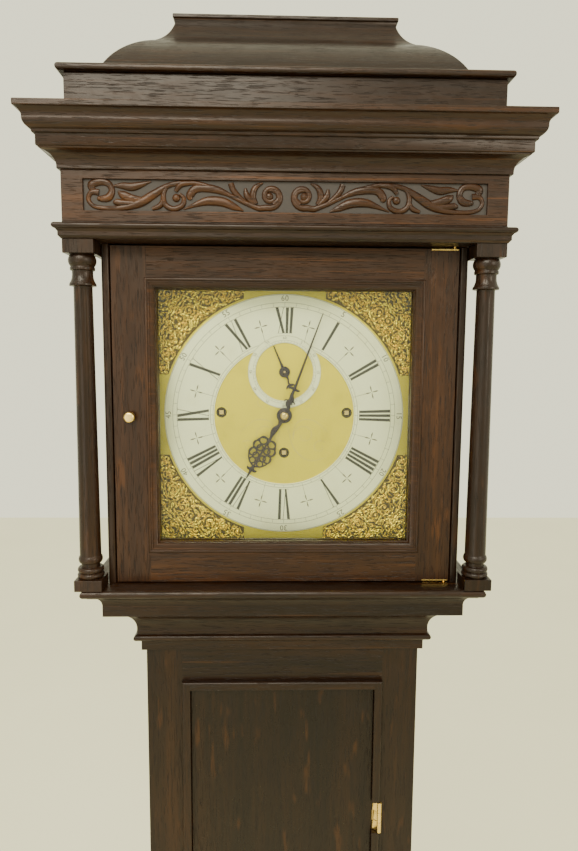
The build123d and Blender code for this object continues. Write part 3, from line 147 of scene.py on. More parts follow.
class Recipe:
    """A material's node tree while it is being written."""

    def __init__(self, name: str) -> None:
        """Start an empty material with an output node."""
        self.material = bpy.data.materials.new(name)
        self.material.use_nodes = True
        self.tree = self.material.node_tree
        self.tree.nodes.clear()
        self.output = self.tree.nodes.new("ShaderNodeOutputMaterial")
        place = self.tree.nodes.new("ShaderNodeTexCoord")
        self.place = Signal(self.tree, place.outputs["Object"])

    def node(self, kind: str, settings: dict, inputs: dict, output: object = 0) -> Signal:
        """Add any node.

        Args:
            kind: the node's type without its common first word.
            settings: the node's own properties, set first; "stops" fills a colour ramp.
            inputs: values or Signals by socket name or number.
            output: the socket that is wanted.

        Returns:
            That output.
        """
        node = self.tree.nodes.new("ShaderNode" + kind)
        for key, value in settings.items():
            if key == "stops":
                ramp = node.color_ramp
                while len(ramp.elements) < len(value):
                    ramp.elements.new(0.5)
                for element, (where, colour) in zip(ramp.elements, value):
                    element.position = where
                    element.color = (*colour, 1.0)
            else:
                setattr(node, key, value)
        for key, value in inputs.items():
            if isinstance(value, Signal):
                self.tree.links.new(value.socket, node.inputs[key])
            else:
                node.inputs[key].default_value = value
        return Signal(self.tree, node.outputs[output])

    def axes(self) -> tuple[Signal, Signal, Signal]:
        """The three object coordinates."""
        node = self.tree.nodes.new("ShaderNodeSeparateXYZ")
        self.tree.links.new(self.place.socket, node.inputs[0])
        return tuple(Signal(self.tree, node.outputs[i]) for i in range(3))

    def stretch(self, where: Signal, by: Sequence[float]) -> Signal:
        """Coordinates scaled along each axis."""
        return self.node("VectorMath", {"operation": "MULTIPLY"}, {0: where, 1: tuple(by)})

    def noise(
        self, where: Signal, scale: float, detail: float = 3.0, rough: float = 0.55
    ) -> Signal:
        """Fractal noise between 0 and 1."""
        return self.node(
            "TexNoise", {}, {"Vector": where, "Scale": scale, "Detail": detail, "Roughness": rough}
        )

    def cells(self, where: Signal, scale: float) -> Signal:
        """Distance to the nearest of many scattered points."""
        return self.node("TexVoronoi", {}, {"Vector": where, "Scale": scale})

    def between(self, value: Signal, low: float, high: float) -> Signal:
        """Smooth step of a value from low to high."""
        return self.node(
            "MapRange",
            {"interpolation_type": "SMOOTHSTEP"},
            {"Value": value, "From Min": low, "From Max": high},
        )

    def ramp(self, value: Signal, stops: Sequence[tuple]) -> Signal:
        """Colour of a value along a ramp."""
        return self.node("ValToRGB", {"stops": stops}, {0: value})

    def mix(self, share: object, first: object, second: object, blend: str = "MIX") -> Signal:
        """Mixture of two colours."""
        node = self.tree.nodes.new("ShaderNodeMix")
        node.data_type = "RGBA"
        node.blend_type = blend
        for place, value in ((0, share), (6, first), (7, second)):
            if isinstance(value, Signal):
                self.tree.links.new(value.socket, node.inputs[place])
            else:
                node.inputs[place].default_value = value if place == 0 else (*value, 1.0)
        return Signal(self.tree, node.outputs[2])

    def bump(self, height: Signal, depth: float) -> Signal:
        """Normal bent by a height field whose full step is depth metres."""
        return self.node(
            "Bump", {}, {"Height": height, "Distance": depth, "Strength": 1.0}, "Normal"
        )

    def surface(self, inputs: dict) -> bpy.types.Material:
        """Finish the material with one principled shader.

        Args:
            inputs: values or Signals by socket name.

        Returns:
            The material.
        """
        shader = self.node("BsdfPrincipled", {}, inputs)
        self.tree.links.new(shader.socket, self.output.inputs[0])
        return self.material


class Grain(Enum):
    """Way that the wood's grain runs."""

    UPRIGHT = "upright"
    ACROSS = "across"
    DEEP = "deep"
    MITRED = "mitred"
    FRAMED = "framed"


@dataclass(frozen=True)
class Oak:
    """Stained and waxed oak, with pores, growth lines, ray flecks and a worn wax polish, lightened or darkened
    board by board as painted light and shade.
    """

    name: str
    grain: Grain
    half: float = 0.0
    front: float = 0.0
    # light is painted light and shade: it scales the whole stain so that one oak gives lit and shaded copies
    light: float = 1.0
    fleck: float = 0.25
    polish: float = 0.36
    raw: bool = False

    def _lit(self, shade: Colour) -> Colour:
        """A shade of the stain, lightened or darkened for this board as painted light and shade."""
        return tuple(part * self.light for part in shade)

    def _along(self, recipe: Recipe) -> Signal:
        """Coordinates drawn out along the grain.

        Args:
            recipe: the material being written.

        Returns:
            Coordinates in which the wood's figure is as long as it is wide.
        """
        short = 0.05
        runs = {
            Grain.UPRIGHT: (1.0, 1.0, short),
            Grain.ACROSS: (short, 1.0, 1.0),
            Grain.DEEP: (1.0, short, 1.0),
        }
        if self.grain in runs:
            return recipe.stretch(recipe.place, runs[self.grain])
        x, y, _ = recipe.axes()
        if self.grain is Grain.MITRED:
            turned = (abs(x) - self.half) > (self.front - y)
            second = runs[Grain.DEEP]
        else:
            turned = abs(x) > self.half
            second = runs[Grain.UPRIGHT]
        first = recipe.stretch(recipe.place, runs[Grain.ACROSS])
        other = recipe.stretch(recipe.place, second)
        blend = recipe.tree.nodes.new("ShaderNodeMix")
        blend.data_type = "VECTOR"
        for place, value in ((0, turned), (4, first), (5, other)):
            recipe.tree.links.new(value.socket, blend.inputs[place])
        return Signal(recipe.tree, blend.outputs[1])

    def material(self) -> bpy.types.Material:
        """The finished wood."""
        recipe = Recipe(self.name)
        along = self._along(recipe)
        figure = recipe.noise(along, 22.0, 3.0)
        lines = recipe.noise(along, 190.0, 4.0, 0.65)
        pores = recipe.between(recipe.noise(along, 950.0, 2.0), 0.56, 0.68)
        wide = recipe.stretch(along, (1.0, 1.0, 4.0))
        rays = recipe.between(recipe.noise(wide, 75.0, 2.0), 0.60, 0.72)
        clouds = recipe.noise(recipe.place, 5.0, 3.0)
        tone = figure * 0.45 + lines * 0.4 + clouds * 0.3 - 0.08
        stops = RAW_STOPS
        if not self.raw:
            # The stain stops carry this board's painted light and shade.
            stops = [(where, self._lit(shade)) for where, shade in STAINED_STOPS]
        colour = recipe.ramp(tone, stops)
        colour = recipe.mix(rays * self.fleck, colour, self._lit(RAY_GLOW))
        colour = recipe.mix(pores * 0.75, colour, PORE_DARK)
        worn = recipe.between(recipe.noise(recipe.place, 34.0, 4.0, 0.7), 0.42, 0.72)
        rough = worn * 0.16 + pores * 0.25 + (self.polish - 0.04) - lines * 0.06
        height = lines * 0.28 - pores * 0.75 + figure * 0.12
        return recipe.surface(
            {
                "Base Color": colour,
                "Roughness": rough,
                "Coat Weight": 0.0 if self.raw else 0.06,
                "Coat Roughness": 0.24,
                "Specular IOR Level": 0.24,
                "Normal": recipe.bump(height, 0.00034),
            }
        )


@dataclass(frozen=True)
class Metal:
    """A metal with tarnish, handling wear and either a fine rub or a matted ground."""

    name: str
    clean: Colour
    tarnish: Colour
    roughness: float
    metallic: float = 1.0
    matted: float = 0.0
    rub: tuple[float, float, float] = (1.0, 1.0, 1.0)
    stain: float = 0.5

    def material(self) -> bpy.types.Material:
        """The finished metal."""
        recipe = Recipe(self.name)
        patches = recipe.noise(recipe.place, 26.0, 5.0, 0.65)
        stain = recipe.between(patches, 0.45, 0.75) * self.stain
        streaks = recipe.noise(recipe.stretch(recipe.place, self.rub), 420.0, 3.0)
        spots = recipe.between(recipe.cells(recipe.place, 260.0), 0.0, 0.16)
        colour = recipe.mix(stain, self.clean, self.tarnish)
        colour = recipe.mix((1.0 - spots) * 0.35 * self.stain, colour, self.tarnish)
        rough = patches * 0.14 + streaks * 0.10 + (self.roughness - 0.12)
        if self.matted > 0:
            grit = recipe.cells(recipe.place, 1500.0) * self.matted + streaks * 0.15
        else:
            grit = streaks * 0.2 + patches * 0.1
        return recipe.surface(
            {
                "Base Color": colour,
                "Metallic": self.metallic,
                "Roughness": rough,
                "Normal": recipe.bump(grit, 0.00022),
            }
        )


@dataclass(frozen=True)
class Casting:
    """Gilded casting, bright on its crests and darkened with depth behind them by painted shade and old lacquer.
    """

    name: str
    # Depths where the painted shade is full and where it ends.
    ground: float
    crest: float

    def material(self) -> bpy.types.Material:
        """The gilding, darkened in its hollows by painted shade and old lacquer."""
        recipe = Recipe(self.name)
        _, y, _ = recipe.axes()
        # Painted shade: deeper points towards the dial plate between the scrolls are darkened as if in shade; old
        # lacquer in the hollows adds to it.
        unshaded = 1.0 - recipe.between(y, self.crest, self.ground)
        patches = recipe.noise(recipe.place, 90.0, 4.0, 0.7)
        share = recipe.between(unshaded + patches * 0.5, 0.35, 0.95)
        colour = recipe.mix(share, (0.10, 0.062, 0.006), (0.98, 0.74, 0.045))
        return recipe.surface(
            {
                "Base Color": colour,
                "Metallic": 0.85,
                "Roughness": 0.46 - share * 0.24 + patches * 0.08,
                "Normal": recipe.bump(recipe.noise(recipe.place, 900.0, 3.0), 0.0002),
            }
        )


@dataclass(frozen=True)
class Pane:
    """Old sheet glass: clear, faintly green, with ripples that bend its shine."""

    name: str

    def material(self) -> bpy.types.Material:
        """Clear glass that shines at a slant."""
        recipe = Recipe(self.name)
        ripples = recipe.noise(recipe.place, 14.0, 2.0)
        normal = recipe.bump(ripples, 0.0006)
        smears = recipe.noise(recipe.place, 30.0, 4.0, 0.7)
        clear = recipe.node("BsdfTransparent", {}, {"Color": (0.93, 0.955, 0.92, 1.0)})
        shine = recipe.node(
            "BsdfPrincipled",
            {},
            {
                "Base Color": (0.9, 0.92, 0.9, 1.0),
                "Metallic": 1.0,
                "Roughness": smears * 0.08 + 0.02,
                "Normal": normal,
            },
        )
        facing = recipe.node("LayerWeight", {}, {"Blend": 0.30, "Normal": normal}, "Fresnel")
        both = recipe.node("MixShader", {}, {0: facing * 0.5 + 0.015, 1: clear, 2: shine})
        recipe.tree.links.new(both.socket, recipe.output.inputs[0])
        return recipe.material


@dataclass(frozen=True)
class Plain:
    """A dull filling or fibre: engraver's wax, gut or leather."""

    name: str
    dark: Colour
    light: Colour
    roughness: float
    twist: float = 0.0

    def material(self) -> bpy.types.Material:
        """The filling, mottled, or laid in strands where it is twisted."""
        recipe = Recipe(self.name)
        mottle = recipe.noise(recipe.place, 300.0, 4.0)
        height = mottle
        if self.twist > 0:
            height = recipe.node(
                "TexWave",
                {"bands_direction": "DIAGONAL"},
                {"Vector": recipe.place, "Scale": self.twist},
            )
        colour = recipe.mix(mottle * 0.5 + height * 0.5, self.dark, self.light)
        return recipe.surface(
            {
                "Base Color": colour,
                "Roughness": mottle * 0.15 + (self.roughness - 0.07),
                "Normal": recipe.bump(height, 0.0002),
            }
        )


# ---------------------------------------------------------------- shapes
def add_object(name: str, data: bpy.types.ID) -> bpy.types.Object:
    """An object of this data, linked into the scene."""
    thing = bpy.data.objects.new(name, data)
    bpy.context.scene.collection.objects.link(thing)
    return thing


def mesh_of(part: bmesh.types.BMesh, name: str) -> bpy.types.Mesh:
    """The mesh of a part, which is used up."""
    data = bpy.data.meshes.new(name)
    part.to_mesh(data)
    part.free()
    return data


def at(x: float, y: float, z: float, turn: float = 0.0, flip: bool = False) -> Matrix:
    """Place for a shape drawn in millimetres, seen from the front.

    Args:
        x, y, z: where its zero goes, in metres.
        turn: degrees clockwise, as on a dial.
        flip: mirrored left to right.

    Returns:
        The matrix from drawing to clock.
    """
    side = Matrix.Scale(-1.0, 4, (1, 0, 0)) if flip else Matrix.Identity(4)
    turned = Matrix.Rotation(math.radians(turn), 4, "Y")
    return Matrix.Translation((x, y, z)) @ turned @ side @ Matrix.Scale(MM, 4)


def smooth_line(marks: Sequence[tuple], steps: int = 5) -> list[tuple]:
    """A curve through marked points.

    Args:
        marks: points with any number of values each, such as across, up and width.
        steps: pieces between two marks.

    Returns:
        Points of a Catmull-Rom curve through the marks.
    """
    ends = [marks[0], *marks, marks[-1]]
    line = []
    for i in range(1, len(ends) - 2):
        for step in range(steps):
            t = step / steps
            weights = (
                -0.5 * t + t * t - 0.5 * t**3,
                1 - 2.5 * t * t + 1.5 * t**3,
                0.5 * t + 2 * t * t - 1.5 * t**3,
                -0.5 * t * t + 0.5 * t**3,
            )
            line.append(
                tuple(
                    sum(w * ends[i - 1 + k][axis] for k, w in enumerate(weights))
                    for axis in range(len(marks[0]))
                )
            )
    line.append(tuple(marks[-1]))
    return line


def volute(middle: Point, start: float, turn: float, radii: Point, widths: Point) -> list[tuple]:
    """A spiral that closes in on its middle.

    Args:
        middle: its centre.
        start: direction of its first point, in degrees from the right, anticlockwise.
        turn: degrees turned, negative for clockwise.
        radii: first and last distance from the middle.
        widths: first and last half width.

    Returns:
        Points as across, up and half width.
    """
    count = max(6, int(abs(turn) / 18))
    line = []
    for i in range(count + 1):
        t = i / count
        angle = math.radians(start + turn * t)
        reach = radii[0] + (radii[1] - radii[0]) * t**0.85
        line.append(
            (
                middle[0] + reach * math.cos(angle),
                middle[1] + reach * math.sin(angle),
                widths[0] + (widths[1] - widths[0]) * t,
            )
        )
    return line


class Shape:
    """A mesh that grows from bmesh operators; drawings are in millimetres, seen from the front."""

    def __init__(self) -> None:
        """Start empty."""
        self.mesh = bmesh.new()

    def absorb(self, part: bmesh.types.BMesh, place: Matrix) -> None:
        """Move a part to its place and join it.

        Args:
            part: the part, which is used up.
            place: its matrix.
        """
        bmesh.ops.transform(part, matrix=place, verts=part.verts)
        bmesh.ops.recalc_face_normals(part, faces=part.faces)
        data = mesh_of(part, "part")
        self.mesh.from_mesh(data)
        bpy.data.meshes.remove(data)

    def plate(self, outline: Sequence[Point], thickness: float, place: Matrix) -> None:
        """A flat piece cut to an outline, standing forward of its plane.

        Args:
            outline: corners as across and up.
            thickness: towards the front.
            place: its matrix.
        """
        part = bmesh.new()
        face = part.faces.new([part.verts.new((u, 0.0, w)) for u, w in outline])
        grown = bmesh.ops.extrude_face_region(part, geom=[face])["geom"]
        front = [g for g in grown if isinstance(g, bmesh.types.BMVert)]
        bmesh.ops.translate(part, vec=(0.0, -thickness, 0.0), verts=front)
        self.absorb(part, place)

    def bar(self, low: Point, high: Point, widths: Point, thickness: float, place: Matrix) -> None:
        """A straight flat bar whose width changes evenly.

        Args:
            low, high: its two ends.
            widths: full width at each end.
            thickness: towards the front.
            place: its matrix.
        """
        along = Vector((high[0] - low[0], high[1] - low[1])).normalized()
        side = Vector((along.y, -along.x))
        corners = [
            Vector(low) + side * widths[0] / 2,
            Vector(high) + side * widths[1] / 2,
            Vector(high) - side * widths[1] / 2,
            Vector(low) - side * widths[0] / 2,
        ]
        self.plate([tuple(c) for c in corners], thickness, place)

    def turned(
        self,
        outline: Sequence[Point],
        place: Matrix,
        steps: int = 48,
        start: float = 0.0,
        end: float = 360.0,
    ) -> None:
        """A turned piece or hoop about the front-to-back axis.

        Args:
            outline: closed section as radius and depth.
            place: its matrix.
            steps: facets round the whole turn.
            start, end: degrees clockwise from the top.
        """
        angle = math.radians(start)
        ring = [(r * math.sin(angle), y, r * math.cos(angle)) for r, y in outline]
        whole = abs(end - start) >= 359.9
        count = max(2, int(steps * abs(end - start) / 360))
        part = self._spun(ring, math.radians(end - start), count, whole)
        if not whole:
            bmesh.ops.holes_fill(part, edges=part.edges, sides=len(ring))
        self.absorb(part, place)

    @staticmethod
    def _spun(ring: Sequence[tuple], angle: float, steps: int, merge: bool) -> bmesh.types.BMesh:
        """A closed section spun about the front-to-back axis.

        Args:
            ring: corners of the section.
            angle: turn in radians.
            steps: facets along the turn.
            merge: join the last facet to the first.

        Returns:
            The spun part.
        """
        part = bmesh.new()
        verts = [part.verts.new(corner) for corner in ring]
        edges = [part.edges.new((verts[i - 1], verts[i])) for i in range(len(verts))]
        bmesh.ops.spin(
            part,
            geom=verts + edges,
            cent=(0, 0, 0),
            axis=(0, 1, 0),
            angle=angle,
            steps=steps,
            use_merge=merge,
        )
        bmesh.ops.remove_doubles(part, verts=part.verts, dist=1e-4)
        return part

    def hoop(self, radius: float, width: float, place: Matrix, gap: float = 0.0) -> None:
        """A thin flat ring line, left open over gap degrees on each side of the top."""
        section = [(radius - width / 2, 0.0), (radius + width / 2, 0.0)]
        section += [(radius + width / 2, -0.06), (radius - width / 2, -0.06)]
        self.turned(section, place, RING_STEPS, gap, 360.0 - gap)

    def mitred(self, outline: Sequence[Point], half: Point, place: Matrix) -> None:
        """A moulding round a rectangle, mitred at its corners.

        Args:
            outline: closed section as distance outwards and depth.
            half: half width and half height of the rectangle.
            place: its matrix.
        """
        stand = 10.0
        ring = [(o + stand, y, o + stand) for o, y in outline]
        part = self._spun(ring, math.tau, 4, True)
        for vert in part.verts:
            vert.co.x += math.copysign(half[0] - stand, vert.co.x)
            vert.co.z += math.copysign(half[1] - stand, vert.co.z)
        self.absorb(part, place)

    def sweep(self, line: Sequence[tuple], depth: float, place: Matrix, sides: int = 8) -> None:
        """A rounded stem, drawn in the plane of the front.

        Args:
            line: points as across, up and half width.
            depth: half thickness where the stem is widest.
            place: its matrix.
            sides: facets round the stem.
        """
        part = bmesh.new()
        ring = bmesh.ops.create_circle(part, segments=sides, radius=1.0)["verts"]
        edges = part.edges[:]
        pose = Matrix.Identity(4)
        widest = max(mark[2] for mark in line)
        for i, (u, w, half) in enumerate(line):
            before, after = line[max(i - 1, 0)], line[min(i + 1, len(line) - 1)]
            tangent = Vector((after[0] - before[0], 0.0, after[1] - before[1])).normalized()
            across = Vector((tangent.z, 0.0, -tangent.x)) * max(half, 0.05)
            rise = Vector((0.0, -depth * (0.3 + 0.7 * half / widest), 0.0))
            target = Matrix((across, rise, tangent)).transposed().to_4x4()
            target.translation = (u, 0.0, w)
            if i:
                grown = bmesh.ops.extrude_edge_only(part, edges=edges)["geom"]
                ring = [g for g in grown if isinstance(g, bmesh.types.BMVert)]
                held = set(ring)
                edges = [
                    g
                    for g in grown
                    if isinstance(g, bmesh.types.BMEdge) and held.issuperset(g.verts)
                ]
            bmesh.ops.transform(part, matrix=target @ pose.inverted(), verts=ring)
            pose = target
        bmesh.ops.holes_fill(part, edges=part.edges, sides=sides)
        self.absorb(part, place)

    def dome(self, middle: Point, radius: float, depth: float, place: Matrix) -> None:
        """A round boss, flattened to its depth."""
        part = bmesh.new()
        bmesh.ops.create_icosphere(part, subdivisions=2, radius=1.0)
        bmesh.ops.scale(part, vec=(radius, depth, radius), verts=part.verts)
        bmesh.ops.translate(part, vec=(middle[0], 0.0, middle[1]), verts=part.verts)
        self.absorb(part, place)

    def finish(
        self,
        name: str,
        material: bpy.types.Material,
        body: str,
        replaces: Sequence[str] = (),
        crease: float = 38.0,
    ) -> bpy.types.Object:
        """Turn the shape into a piece of the clock.

        Args:
            name: the piece's name.
            material: its finish.
            body: the moving body it rides on.
            replaces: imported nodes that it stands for.
            crease: edges sharper than this many degrees stay sharp.

        Returns:
            The piece.
        """
        data = mesh_of(self.mesh, name)
        return place_piece(data, name, material, body, replaces, crease)


def place_piece(
    data: bpy.types.Mesh,
    name: str,
    material: bpy.types.Material,
    body: str,
    replaces: Sequence[str],
    crease: float,
) -> bpy.types.Object:
    """Give a mesh its finish and body.

    Args:
        data: the mesh, in the clock's own frame.
        name, material, body, replaces, crease: as Shape.finish has them.

    Returns:
        The piece.
    """
    for face in data.polygons:
        face.use_smooth = True
    data.set_sharp_from_angle(angle=math.radians(crease))
    data.materials.clear()
    data.materials.append(material)
    piece = add_object(name, data)
    if replaces:
        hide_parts(*replaces)
    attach(piece, body)
    LOG.info("%s: %d faces on %s", name, len(data.polygons), body)
    return piece


SLOT_OF = {part["node"]: part["material_slot"] for part in frame["record"]["subparts"]}
BODY_OF = {
    node: body
    for body, nodes in frame["record"]["behaviour"]["bodies"].items()
    for node in nodes
}


def worked(
    node: str, material: bpy.types.Material, edge: float = 0.0, crease: float = 30.0
) -> None:
    """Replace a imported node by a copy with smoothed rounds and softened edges.

    Args:
        node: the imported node.
        material: its finish.
        edge: width of the worn bevel on its edges, in metres.
        crease: edges sharper than this many degrees stay edges.
    """
    shape = bmesh.new()
    shape.from_mesh(frame["nodes"][node].data)
    bmesh.ops.remove_doubles(shape, verts=shape.verts, dist=2e-6)
    bmesh.ops.dissolve_limit(
        shape, angle_limit=math.radians(0.4), verts=shape.verts, edges=shape.edges
    )
    name = node + "_finished"
    data = mesh_of(shape, name)
    piece = place_piece(data, name, material, BODY_OF[node], (node,), crease)
    if edge > 0:
        worn = piece.modifiers.new("worn_edges", "BEVEL")
        worn.width = edge
        worn.segments = 2
        worn.limit_method = "ANGLE"
        worn.angle_limit = math.radians(crease)
        worn.harden_normals = True
        worn.use_clamp_overlap = True


JOINTS = {joint["name"]: joint for joint in frame["joints"]}


def span(node: str) -> tuple[Vector, Vector, Vector]:
    """Lowest corner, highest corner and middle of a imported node."""
    low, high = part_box(node)
    return low, high, (low + high) / 2


# ---------------------------------------------------------------- case and hood
@dataclass
class Joinery:
    """The oak case, trunk, doors and hood, board by board."""

    worn_edge: float = 0.0007
    lip: float = 0.0104

    def board(self, node: str, grain: Grain, **tone: float) -> None:
        """Dress one wooden node.

        Args:
            node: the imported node.
            grain: way of its grain.
            tone: settings of its oak.
        """
        low, high, _ = span(node)
        settings = {"half": high.x, "front": low.y, **tone}
        oak = Oak("oak_" + node, grain, **settings)
        worked(node, oak.material(), self.worn_edge)

    def build(self) -> None:
        """Dress every wooden piece."""
        # The light values paint light and shade: each board is lightened or darkened for how brightly it is lit,
        # from the bright frieze and door frame down to the dark trunk.
        self.board("plinth_boards", Grain.UPRIGHT, light=0.95)
        self.board("skirting", Grain.MITRED)
        self.board("base_moulding", Grain.MITRED)
        self.board("trunk_sides", Grain.UPRIGHT, light=0.85)
        _, lip_high, _ = span("trunk_door_moulding")
        self.board("trunk_front_frame", Grain.FRAMED, half=lip_high.x, light=0.95)
        self.board("throat_moulding", Grain.MITRED)
        self.board("backboard", Grain.UPRIGHT, raw=True, polish=0.62, light=1.0)
        self.board("seatboard", Grain.ACROSS, raw=True, polish=0.62, light=1.0)
        self.board("trunk_door_panel", Grain.UPRIGHT, light=0.60, fleck=0.45, polish=0.34)
        self.board("trunk_door_moulding", Grain.FRAMED, half=lip_high.x - self.lip, light=0.95)
        self.board("hood_base_frame", Grain.MITRED, light=0.9)
        self.board("hood_sides", Grain.UPRIGHT, light=0.85)
        self.board("hood_mask", Grain.UPRIGHT, light=0.7)
        self.board("architrave_moulding", Grain.MITRED)
        self.board("frieze_board", Grain.MITRED, light=2.1)
        self.board("cornice_moulding", Grain.MITRED, light=1.35)
        self.board("hood_top_board", Grain.ACROSS, light=0.8)
        self.board("caddy_box", Grain.MITRED, light=1.0)
        self.board("caddy_top", Grain.MITRED, light=0.75)
        self.board("front_columns", Grain.UPRIGHT, light=0.9)
        self.board("rear_columns", Grain.UPRIGHT, light=0.9)
        self.board("hood_door_frame", Grain.FRAMED, half=SIGHT_HALF, light=1.8, fleck=0.2)


@dataclass
class CarvedFrieze:
    """Scrolling leaf carved in a sunk panel, the two halves mirrored about the middle."""

    side_margin: float = 22.2
    low_margin: float = 10.8
    high_margin: float = 8.7
    relief: float = 2.9
    stem_marks: tuple = (
        (-192.0, 2.6, 3.5), (-199.5, 2.6, 2.9), (-203.0, -4.0, 2.3), (-198.0, -10.8, 2.3),
        (-185.0, -13.2, 2.5), (-167.0, -12.2, 3.2), (-150.0, -7.0, 4.7), (-136.0, 1.5, 4.3),
        (-122.0, 9.8, 2.9), (-107.0, 13.2, 2.5), (-92.0, 12.6, 2.5), (-75.0, 8.0, 2.5),
        (-58.0, 1.0, 2.3), (-42.0, -6.4, 2.6), (-28.0, -11.6, 3.2),
    )
    leaf_marks: tuple = (
        ((-197.8, 4.6, 3.1), (-199.4, 10.0, 4.2), (-191.0, 13.0, 3.9), (-182.4, 11.4, 3.4),
         (-178.8, 4.4, 3.4), (-182.6, -2.4, 4.2), (-190.6, -3.8, 3.1)),
        ((-178.0, 9.0, 0.8), (-168.0, 9.4, 3.4), (-158.5, 8.4, 4.3), (-150.0, 10.4, 3.4),
         (-138.5, 14.0, 0.7)),
        ((-172.5, 4.0, 0.9), (-168.0, 0.6, 4.2), (-158.0, -3.4, 4.4), (-146.0, -5.0, 3.1)),
        ((-175.0, -6.6, 3.4), (-167.5, -7.6, 3.6), (-156.0, -8.2, 3.1)),
        ((-122.0, 10.4, 1.6), (-126.6, 1.0, 2.7), (-124.8, -8.6, 3.0), (-116.4, -13.0, 3.0),
         (-107.4, -9.4, 2.9), (-105.6, -2.4, 2.3), (-110.0, 2.0, 1.6)),
        ((-92.8, 12.8, 1.6), (-107.6, 11.8, 3.4), (-114.0, 4.4, 2.1)),
        ((-126.8, -1.0, 1.0), (-129.6, -9.4, 2.9), (-138.0, -13.2, 1.8)),
        ((-51.0, -2.0, 1.0), (-72.0, 6.6, 3.9), (-92.0, 7.8, 4.4), (-99.4, 0.6, 4.2),
         (-98.2, -3.4, 2.1)),
        ((-106.0, -13.4, 0.7), (-92.0, -7.8, 2.9), (-80.0, -4.6, 4.7), (-66.0, -5.4, 4.9),
         (-54.0, -10.2, 3.6), (-44.5, -14.2, 0.7)),
        ((-57.6, 13.0, 3.1), (-54.0, 5.0, 3.1), (-44.5, -3.6, 2.1), (-37.0, -8.4, 1.2)),
        ((-42.6, 8.4, 1.3), (-41.0, 1.0, 3.4), (-33.0, -7.4, 2.1)),
        ((-24.6, 14.0, 1.0), (-32.2, 9.4, 3.0), (-35.0, 1.0, 3.4), (-31.4, -7.0, 2.1)),
        ((-13.6, -7.4, 3.1), (-8.4, -1.6, 2.9), (-10.8, 5.0, 2.3), (-18.6, 6.8, 1.8)),
    )
    bosses: tuple = (
        (-113.4, -2.0, 4.3), (-18.0, 0.6, 4.2), (-191.5, -3.6, 2.6), (-175.5, -7.2, 2.6),
    )
    sunk: float = 3.0

    def half(self, shape: Shape, place: Matrix) -> None:
        """Carve one half.

        Args:
            shape: the carving.
            place: plain or mirrored place of the panel's middle.
        """
        spiral = volute((-16.6, 0.6), -112.0, 420.0, (12.0, 4.6), (3.4, 2.4))
        stem = smooth_line(self.stem_marks, 5) + spiral
        shape.sweep(stem, self.relief, place, 10)
        for marks in self.leaf_marks:
            shape.sweep(smooth_line(marks, 5), self.relief * 0.92, place, 10)
        for u, w, radius in self.bosses:
            shape.dome((u, w), radius, self.relief, place)

    def build(self) -> None:
        """Carve the panel, and lay a near-black plate of painted shade with a punched texture on its ground."""
        low, high, middle = span("frieze_board")
        half_length = (high.x - low.x) / 2 / MM - self.side_margin
        half_height = ((high.z - low.z) / MM - self.low_margin - self.high_margin) / 2
        rise = (self.low_margin - self.high_margin) / 2 * MM
        floor = low.y + self.sunk * MM
        # Painted light: the carving's stain is lightened far beyond the boards, as if its relief caught the light.
        painted_light_carving_oak = Oak("oak_carving_painted_light", Grain.ACROSS, light=2.6, fleck=0.1, polish=0.34)
        carving = Shape()
        for flip in (False, True):
            self.half(carving, at(0.0, floor - 0.0001, middle.z + rise, flip=flip))
        carving.finish("frieze_carving", painted_light_carving_oak.material(), "hood", crease=60.0)
        # Painted shade: a near-black plate lies on the sunk ground so that the recess behind the carving reads as
        # shaded.
        ground = Shape()
        edge = [(-half_length, -half_height), (half_length, -half_height)]
        edge += [(half_length, half_height), (-half_length, half_height)]
        ground.plate(edge, 0.25, at(0.0, floor, middle.z + rise))
        painted_shade_fill = Plain("punched_ground_painted_shade", (0.004, 0.003, 0.003), (0.030, 0.022, 0.020), 0.66)
        ground.finish("frieze_ground_painted_shade", painted_shade_fill.material(), "hood")


@dataclass
class HoodDoor:
    """Fittings of the glazed door: sight mouldings and glass."""

    rebate: float = 5.0

    def build(self) -> None:
        """Run the sight mouldings and dress the glass."""
        low, _, middle = span("hood_door_frame")
        glass_low, glass_high, _ = span("hood_door_glass")
        height = (glass_high.z - glass_low.z) / 2 / MM
        sight = (glass_high.x / MM - self.rebate, height - self.rebate)
        # Painted light: the sight moulding's stain is lightened as if brightly lit.
        oak = Oak("oak_sight_moulding", Grain.FRAMED, half=SIGHT_HALF, light=1.7, fleck=0.15)
        place = at(0.0, low.y, middle.z)
        beads = Shape()
        outer = [(8.6, 0.4)]
        outer += [
            (10.1 + 1.6 * math.cos(a), -1.3 * math.sin(a))
            for a in (math.pi * i / 6 for i in range(6, -1, -1))
        ]
        outer.append((11.6, 0.4))
        beads.mitred(outer, sight, place)
        ovolo = [(0.05, 9.0), (0.05, 6.6)]
        ovolo += [
            (0.8 + 6.4 * (1 - math.cos(a)), 6.2 - 5.4 * math.sin(a))
            for a in (math.pi / 2 * i / 6 for i in range(7))
        ]
        ovolo.append((8.0, 9.0))
        beads.mitred(ovolo, sight, place)
        beads.finish(
            "hood_door_sight_moulding", oak.material(), "hood_door", crease=50.0
        )
        pane = frame["nodes"]["hood_door_glass"]
        pane.data.materials.clear()
        pane.data.materials.append(Pane("sheet_glass").material())


